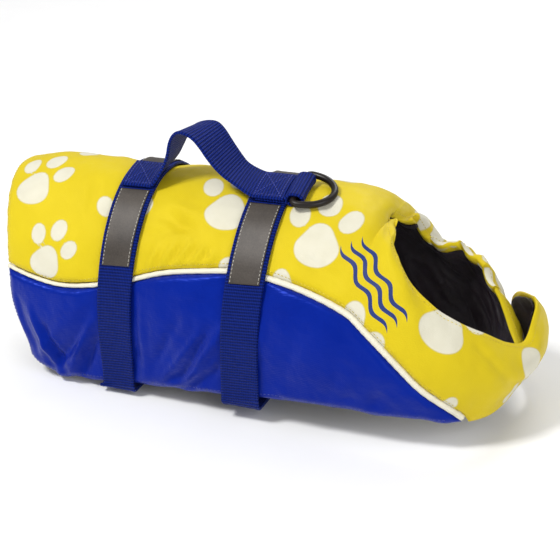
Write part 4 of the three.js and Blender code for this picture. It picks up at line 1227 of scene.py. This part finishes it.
# %% Handle and ring loop
def back_rows(rows, width=WEBBING_WIDTH):
    """Rows across webbing that runs along the back, from x, height of its middle, and flatness."""
    x, height, flat = (np.array([row[i] for row in rows], float) for i in range(3))
    stations = station_at_x(x)
    length = length_at(stations)
    centre_share = (CENTRE_ARC / length)[:, None]
    middle = form(stations, centre_share, NEAR)[:, 0]
    up = form_normal(stations, centre_share, NEAR)[:, 0]
    sideways = np.stack([np.zeros(len(x)), up[:, 2], -up[:, 1]], 1)
    sideways /= np.linalg.norm(sideways, axis=1, keepdims=True)
    centre = np.empty((len(x), len(BAND_SHARES), 3))
    for k, share in enumerate(BAND_SHARES):
        across = share * width / 2
        arc = across - CENTRE_ARC
        side = NEAR if arc < 0 else FAR
        follow = placed(stations, (abs(arc) / length)[:, None], side, -height[:, None])[:, 0]
        straight = middle + up * height[:, None] + sideways * across
        centre[:, k] = follow + (straight - follow) * flat[:, None]
    return centre


def outs_of(centre, towards):
    """The way out of each place on a band: across its length and its width."""
    along = np.gradient(centre, axis=0)
    across = np.gradient(centre, axis=1)
    out = np.cross(along, across)
    out /= np.maximum(np.linalg.norm(out, axis=-1, keepdims=True), 1e-9)
    if (out[0, 7] * towards).sum() < 0:
        out = -out
    return out


def rounded_rows(rows, rounds):
    """Rounds the corners of a list of rows by cutting them off again and again."""
    rows = [np.asarray(row, float) for row in rows]
    for _ in range(rounds):
        cut = [rows[0]]
        for a, b in zip(rows[:-1], rows[1:]):
            cut += [a * 0.75 + b * 0.25, a * 0.25 + b * 0.75]
        rows = cut + [rows[-1]]
    return np.array(rows)


ROOT_MIDDLE = STRAP_HEIGHT + WEBBING_WALL + LAYER_GAP + WEBBING_WALL / 2
REAR_ROOT_MIDDLE = ROOT_MIDDLE + 0.3
FRONT_ROOT_MIDDLE = ROOT_MIDDLE + WEBBING_WALL + LAYER_GAP + 0.2
PATCH = 21.0
ARCH = [
    # near edge x and z, far edge x and z
    (-25.5, 18, -26, 19), (-22.5, 26, -22.5, 26), (-21.5, 33.5, -19, 33), (-19, 39.5, -14, 39),
    (-15, 42.5, -8, 42.5), (-7, 40.5, 1, 44), (-1, 34.5, 6, 40), (5, 26, 11, 32.5),
    (13, 18, 17, 24), (21, 13.5, 22, 18),
]
near_y, far_y = -WEBBING_WIDTH / 2 - CENTRE_ARC, WEBBING_WIDTH / 2 - CENTRE_ARC
mix = ((BAND_SHARES + 1) / 2)[None, :, None]
arch_near = np.array([(nx, near_y, nz) for nx, nz, _, _ in ARCH], float)[:, None]
arch_far = np.array([(fx, far_y, fz) for _, _, fx, fz in ARCH], float)[:, None]
arch = arch_near * (1 - mix) + arch_far * mix
rear_x, front_x = (STRAPS[name] + STRAP_LEAN for name in ("rear", "front"))
rear_root, front_root = (
    back_rows([(x, height, 0) for x in np.linspace(middle_x - PATCH / 2, middle_x + PATCH / 2, 6)])
    for middle_x, height in ((rear_x, REAR_ROOT_MIDDLE), (front_x, FRONT_ROOT_MIDDLE)))
handle_rows = rounded_rows([*rear_root, *arch, *front_root], 3)
handle_out = outs_of(handle_rows, np.array([0, 0, 1.0]))
points, faces, flat = band_mesh(handle_rows, handle_out, WEBBING_WALL, WEBBING_WIDTH)
handle = make_piece("handle_webbing", points, faces, ribbed_webbing, flat)
seat(handle, "webbing", "handle")

RING_BAR, RING_CLEARANCE = 4.4, 0.4
LOOP_FLOOR = 0.4 + WEBBING_WALL / 2
BAR_HEIGHT = LOOP_FLOOR + WEBBING_WALL / 2 + RING_CLEARANCE + RING_BAR / 2
LOOP_ROOF = BAR_HEIGHT + RING_BAR / 2 + RING_CLEARANCE + WEBBING_WALL / 2
ROOT_EDGE = front_x + PATCH / 2
STRAP_EDGE = front_x + WEBBING_WIDTH / 2
RING_X = STRAP_EDGE + 4.7
LOOP_TIP = RING_X + 6.0
LOOP = [
    # x, height of its middle, and how flat it lies across
    (ROOT_EDGE - 18, ROOT_MIDDLE + 0.4, 0), (ROOT_EDGE - 9, ROOT_MIDDLE + 0.15, 0),
    (STRAP_EDGE + 0.5, ROOT_MIDDLE, 0), (STRAP_EDGE + 2, LOOP_FLOOR, 0), (LOOP_TIP - 3.2, LOOP_FLOOR, 0),
    (LOOP_TIP - 1.1, LOOP_FLOOR + 1.1, 0.3), (LOOP_TIP - 0.3, (LOOP_FLOOR + LOOP_ROOF) / 2, 0.5),
    (LOOP_TIP - 1.1, LOOP_ROOF - 1.1, 0.9), (LOOP_TIP - 3.2, LOOP_ROOF, 1), (STRAP_EDGE + 2.4, LOOP_ROOF, 1),
    (STRAP_EDGE + 0.6, LOOP_ROOF - 1.4, 0.8), (ROOT_EDGE + 1.2, FRONT_ROOT_MIDDLE, 0.4),
]
loop_path = rounded_rows(LOOP, 2)
loop_rows = back_rows([tuple(row) for row in loop_path])
loop_out = outs_of(loop_rows, np.array([0, 0, -1.0]))
points, faces, flat = band_mesh(loop_rows, loop_out, WEBBING_WALL * 0.9, WEBBING_WIDTH)
loop = make_piece("ring_loop_webbing", points, faces, ribbed_webbing, flat)
seat(loop, "webbing", "ring_loop")

# %% [markdown]
# The lead ring is a D of round bar. It hinges on its straight side in the loop, so it is the
# one piece that rides on the body "ring" and swings with it.

# %% Lead ring
RING_WIDTH, RING_TIP, RING_CORNER, RING_SAG = 36.0, 26.0 - RING_BAR, 3.0, 1.6
ring_half = RING_WIDTH / 2 - RING_BAR / 2
arc = np.radians(np.linspace(-90, 90, 36))
corner = np.radians(np.linspace(10, 90, 7))
bar_line = np.linspace(ring_half - RING_CORNER, -(ring_half - RING_CORNER), 9)
ring_outline = [
    *zip(RING_CORNER + (RING_TIP - RING_CORNER) * np.cos(arc), ring_half * np.sin(arc)),
    *zip(RING_CORNER * (1 - np.sin(corner)), ring_half - RING_CORNER * (1 - np.cos(corner))),
    *zip(np.zeros(7), bar_line[1:-1]),
    *zip(RING_CORNER * (1 - np.sin(corner[::-1])), -ring_half + RING_CORNER * (1 - np.cos(corner[::-1]))),
]
ring_station = station_at_x(np.array([RING_X]))
ring_share = np.array([[CENTRE_ARC / length_at(ring_station[0])]])
ring_up = form_normal(ring_station, ring_share, NEAR)[0, 0]
ring_side = np.array([0, ring_up[2], -ring_up[1]])
ring_side /= np.linalg.norm(ring_side)
ring_ahead = np.cross(ring_side, ring_up)
ring_bar = form(ring_station, ring_share, NEAR)[0, 0] + ring_up * BAR_HEIGHT
ring_lean = ring_ahead - ring_up * RING_SAG / RING_TIP
ring_line = [ring_bar + ring_lean * x + ring_side * y for x, y in ring_outline]
points, faces, flat = tube_mesh(ring_line, np.full(len(ring_line), RING_BAR / 2), 16, closed=True)
ring = make_piece("lead_ring_bar", points, faces, moulded_acetal, flat)
seat(ring, "dark_plastic", "lead_ring", body="ring")
print("ring hinge at", np.round(ring_bar, 2))

# %% [markdown]
# Under the belly each strap ends in a side-release buckle: a socket with open sides and a plug
# whose two prongs show there. Both halves are cut from plain outlines, given a thickness and
# bevelled, as the mould would leave them.

# %% Buckles
def slab(outline, holes, low, high):
    """A flat plate from an outline and holes in it, as points and faces of a bmesh."""
    work = bmesh.new()
    edges = []
    for loop_points in [outline, *holes]:
        corners = [work.verts.new((x, y, low)) for x, y in loop_points]
        edges += [work.edges.new((corners[i], corners[(i + 1) % len(corners)])) for i in range(len(corners))]
    filled = bmesh.ops.triangle_fill(work, edges=edges, use_beauty=True)
    flat_faces = [item for item in filled["geom"] if isinstance(item, bmesh.types.BMFace)]
    raised = bmesh.ops.extrude_face_region(work, geom=flat_faces)
    top = [item for item in raised["geom"] if isinstance(item, bmesh.types.BMVert)]
    bmesh.ops.translate(work, verts=top, vec=(0, 0, high - low))
    bmesh.ops.recalc_face_normals(work, faces=work.faces)
    bmesh.ops.dissolve_limit(work, angle_limit=0.01, verts=work.verts, edges=work.edges)
    return work


def rounded_box(x0, y0, x1, y1, radius, steps=4):
    """The outline of a box with round corners."""
    corners = [(x1 - radius, y1 - radius, 0), (x0 + radius, y1 - radius, 90),
               (x0 + radius, y0 + radius, 180), (x1 - radius, y0 + radius, 270)]
    return [(cx + radius * math.cos(math.radians(a + t)), cy + radius * math.sin(math.radians(a + t)))
            for cx, cy, a in corners for t in np.linspace(0, 90, steps)]


def buckle_parts():
    """Outlines of a socket, its plug and the prongs, in millimetres round the buckle's middle."""
    half_width, half_length, half_high = 15.5, 18.0, 4.0
    waist = [(half_width - 4 * math.sin(math.pi * t), -10.5 + 11 * t) for t in np.linspace(0, 1, 9)]
    socket = [(-half_width + 3, -half_length), (half_width - 3, -half_length), (half_width, -half_length + 3),
              *waist, (half_width, 4.5), (half_width - 2, 6.0),
              (-half_width + 2, 6.0), (-half_width, 4.5), *[(-x, y) for x, y in waist[::-1]],
              (-half_width, -half_length + 3)]
    slot_a = rounded_box(-12.8, -16.0, 12.8, -13.6, 0.9)
    plug = rounded_box(-15.0, 6.6, 15.0, half_length, 2.6)
    slot_b = rounded_box(-12.8, 13.4, 12.8, 15.9, 0.9)
    prong = [(9.0, 6.2), (13.2, 6.2), (14.8, 1.0), (14.9, -4.0), (13.6, -8.0), (11.8, -8.2),
             (12.2, -3.0), (11.2, 1.2), (9.2, 3.0)]
    return [(socket, [slot_a], -half_high, half_high), (plug, [slot_b], -half_high + 0.6, half_high - 0.6),
            (prong, [], -1.7, 1.7), ([(-x, y) for x, y in prong[::-1]], [], -1.7, 1.7)]


for name, x in STRAPS.items():
    half_apart, level = belly_level(x, BELLY_DROP[name])
    joined = bpy.data.meshes.new(f"release_buckle_{name}")
    whole = bmesh.new()
    for outline, holes, low, high in buckle_parts():
        part = slab(outline, holes, low, high)
        sharp = [e for e in part.edges if e.is_manifold and e.calc_face_angle(0) > 0.6]
        bmesh.ops.bevel(part, geom=sharp, offset=0.45, segments=2, affect="EDGES", clamp_overlap=True)
        scratch = bpy.data.meshes.new("scratch")
        part.to_mesh(scratch)
        whole.from_mesh(scratch)
        bpy.data.meshes.remove(scratch)
        part.free()
    bmesh.ops.scale(whole, vec=(MM, MM, MM), verts=whole.verts)
    bmesh.ops.translate(whole, vec=(x * MM, 0, level * MM), verts=whole.verts)
    whole.to_mesh(joined)
    whole.free()
    joined.materials.append(moulded_acetal)
    seat(put_in_scene(joined.name, joined), "dark_plastic", f"buckle_{name}")

# %% [markdown]
# Stitches repeat hundreds of times along lines, which is what Geometry Nodes are for. A line is
# cut into steps of one stitch length, a small rounded thread is set on each step along the
# line, and the result is made real before it joins the jacket.

# %% Stitch tree
def stitch_tree(finish):
    """Sets a stitch of a named length and thickness at every pitch along the object's lines."""
    made = bpy.data.node_groups.new("stitches_" + finish.name, "GeometryNodeTree")
    made.interface.new_socket("Geometry", in_out="INPUT", socket_type="NodeSocketGeometry")
    for label, size in (("Pitch", 2.6), ("Length", 1.9), ("Thickness", 0.55)):
        socket = made.interface.new_socket(label, in_out="INPUT", socket_type="NodeSocketFloat")
        socket.default_value = size * MM
    made.interface.new_socket("Geometry", in_out="OUTPUT", socket_type="NodeSocketGeometry")
    given = add_node(made, "NodeGroupInput").outputs
    curve = add_node(made, "GeometryNodeMeshToCurve", {"Mesh": given["Geometry"]})
    steps = add_node(made, "GeometryNodeResampleCurve", {
        "Curve": curve.outputs[0], "Length": given["Pitch"]}, mode="LENGTH")
    bead = add_node(made, "GeometryNodeMeshUVSphere", {"Segments": 6, "Rings": 4, "Radius": 0.5})
    size = add_node(made, "ShaderNodeCombineXYZ", {
        0: given["Thickness"], 1: given["Thickness"], 2: given["Length"]})
    shaped = add_node(made, "GeometryNodeTransform", {
        "Geometry": bead.outputs["Mesh"], "Scale": size.outputs[0]})
    tangent = add_node(made, "GeometryNodeInputTangent")
    turned = add_node(made, "FunctionNodeAlignRotationToVector", {"Vector": tangent.outputs[0]}, axis="Z")
    points = add_node(made, "GeometryNodeInstanceOnPoints", {
        "Points": steps.outputs[0], "Instance": shaped.outputs[0], "Rotation": turned.outputs[0]})
    real = add_node(made, "GeometryNodeRealizeInstances", {"Geometry": points.outputs[0]})
    coated = add_node(made, "GeometryNodeSetMaterial", {"Geometry": real.outputs[0], "Material": finish})
    add_node(made, "NodeGroupOutput", {"Geometry": coated.outputs[0]})
    return made


def sew(name, lines, finish, slot, pitch, length, thickness):
    """Stitches along lines of points in millimetres, as one plain mesh."""
    mesh = bpy.data.meshes.new(name + "_lines")
    points = np.concatenate(lines) * MM
    edges, first = [], 0
    for line in lines:
        edges += [(first + i, first + i + 1) for i in range(len(line) - 1)]
        first += len(line)
    mesh.from_pydata(points.tolist(), edges, [])
    guide = put_in_scene(name + "_guide", mesh)
    maker = guide.modifiers.new("stitches", "NODES")
    maker.node_group = stitch_tree(finish)
    wanted = {"Pitch": pitch, "Length": length, "Thickness": thickness}
    for item in maker.node_group.interface.items_tree:
        if item.in_out == "INPUT" and item.name in wanted:
            maker[item.identifier] = wanted[item.name] * MM
    depsgraph = bpy.context.evaluated_depsgraph_get()
    result = bpy.data.meshes.new_from_object(guide.evaluated_get(depsgraph))
    result.name = name
    bpy.data.objects.remove(guide)
    result.polygons.foreach_set("use_smooth", np.ones(len(result.polygons), bool))
    seat(put_in_scene(name, result), slot)


# %% [markdown]
# Topstitching follows the piping on the yellow cloth, the neck edge, the rear edge and the hem.
# A second run holds the tapes to the straps, and boxes with a cross hold the handle's patches.

# %% Sewing lines
THREAD_LIFT = 0.05
REAR_SEAM = np.array([0.2])    # the station of the stitches along the rear edge


def surface_line(made, points):
    """Points laid on the visible face of a finished piece, a little raised."""
    found = []
    for p in points:
        _, place, normal, _ = made.closest_point_on_mesh(Vector(p) * MM)
        found.append(np.array(place / MM + normal * THREAD_LIFT))
    return np.array(found)


yellow_lines, blue_lines = [], []
for side, end in SIDE_ENDS:
    stations = np.linspace(0.12, 15.0, 420)
    length = length_at(stations)
    slant = np.maximum(PIPING_HALF / np.interp(stations, fine, fine_reach), 0.4)
    shares = upper_edge(stations) - 2.4 / length / slant
    yellow_lines.append(surface_line(upper, form(stations, shares[:, None], side)[:, 0]))
    stations = np.linspace(10.4, end - 0.3, 260)
    shares = 4.2 / length_at(stations)
    raw = placed(stations, shares[:, None], side, sink(stations, side)[:, None])[:, 0]
    yellow_lines.append(surface_line(upper, raw))
    rear_shares = np.linspace(0.01, upper_edge(REAR_SEAM)[0] - 0.02, 80)
    yellow_lines.append(surface_line(upper, form(REAR_SEAM, rear_shares[None], side)[0]))
for name, side in (("near", NEAR), ("far", FAR)):
    panel = bpy.data.objects[f"side_padded_panel_{name}"]
    stations = np.linspace(0.3, 14.2, 400)
    shares = 1 - 3.6 / length_at(stations)
    blue_lines.append(surface_line(panel, form(stations, shares[:, None], side)[:, 0]))
    rear_shares = np.linspace(lower_edge(REAR_SEAM)[0] + 0.02, 0.98, 80)
    blue_lines.append(surface_line(panel, form(REAR_SEAM, rear_shares[None], side)[0]))
sew("topstitch_yellow", yellow_lines, yellow_thread, "yellow_nylon", 2.6, 1.8, 0.5)
sew("topstitch_blue", blue_lines, blue_thread, "blue_nylon", 2.6, 1.8, 0.5)
sew("tape_stitches", tape_lines, pale_thread, "reflective_tape", 2.4, 1.8, 0.5)


def patch_lines(middle_x, height):
    """A box with a cross in it, on a patch of the handle."""
    half_x, half_y = PATCH / 2 - 2.2, WEBBING_WIDTH / 2 - 2.6
    corners = [(-half_x, -half_y), (half_x, -half_y), (half_x, half_y), (-half_x, half_y)]
    runs = [(corners[i], corners[j]) for i, j in ((0, 1), (1, 2), (2, 3), (3, 0), (0, 2), (1, 3))]
    lines = []
    for (x0, y0), (x1, y1) in runs:
        line = []
        for t in np.linspace(0, 1, 14):
            x, across = middle_x + x0 + (x1 - x0) * t, y0 + (y1 - y0) * t
            station = station_at_x(np.array([x]))
            arc = across - CENTRE_ARC
            share = np.array([[abs(arc) / length_at(station[0])]])
            line.append(placed(station, share, NEAR if arc < 0 else FAR, np.array([[-height]]))[0, 0])
        lines.append(np.array(line))
    return lines


sew("patch_stitches", patch_lines(rear_x, REAR_ROOT_MIDDLE + WEBBING_WALL / 2) +
    patch_lines(front_x, FRONT_ROOT_MIDDLE + WEBBING_WALL / 2), blue_thread, "webbing", 2.2, 1.7, 0.6)

# %% [markdown]
# The jacket stands on a plain pale floor under a soft, even studio light: a bright surround, the
# main lamp from the camera's left, a wider and weaker one from the right, which keeps the folds
# readable, and one from behind that picks out the far rim.

# %% Floor and light
floor_mesh = bpy.data.meshes.new("studio_floor")
floor_level, floor_half = cad_low.z - 0.0006, 6
floor_corners = [(x * floor_half, y * floor_half, floor_level)
                 for x, y in ((-1, -1), (1, -1), (1, 1), (-1, 1))]
floor_mesh.from_pydata(floor_corners, [], [(0, 1, 2, 3)])
paper, tree = new_finish("white_studio_paper")
grain = soft_blotches(tree, 40)
tone = add_node(tree, "ShaderNodeMix", {
    "Factor": grain, "A": linear("#F4F4F4"), "B": linear("#F8F8F8")}, data_type="RGBA")
finish_with(tree, tone.outputs["Result"], grain, 0.0, 0.1, {"Roughness": 0.9, "Specular IOR Level": 0.1})
floor_mesh.materials.append(paper)
floor = put_in_scene("studio_floor", floor_mesh)
floor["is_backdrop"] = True

world = bpy.data.worlds.new("studio")
bpy.context.scene.world = world
world.use_nodes = True
background = world.node_tree.nodes["Background"]
background.inputs["Color"].default_value = (1, 1, 1, 1)
background.inputs["Strength"].default_value = 0.44


def add_lamp(name, place, size, power):
    """A large soft lamp that looks at the jacket."""
    data = bpy.data.lights.new(name, "AREA")
    data.shape, data.size, data.energy = "SQUARE", size, power
    lamp = put_in_scene(name, data)
    lamp.location = place
    lamp.rotation_euler = (Vector((0.04, 0, -0.05)) - Vector(place)).to_track_quat("-Z", "Y").to_euler()


add_lamp("key", (-0.75, -0.95, 1.5), 0.42, 29)
add_lamp("fill", (1.5, -1.1, 0.9), 1.2, 13)
add_lamp("rim", (0.2, 1.4, 1.2), 1.0, 12)

# %% [markdown]
# The last cell prints the dressed jacket's box, so that it can be held against the solids' box.

# %% Sizes
low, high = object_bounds()
print("visual box", [round(v, 4) for v in (*low, *high)])
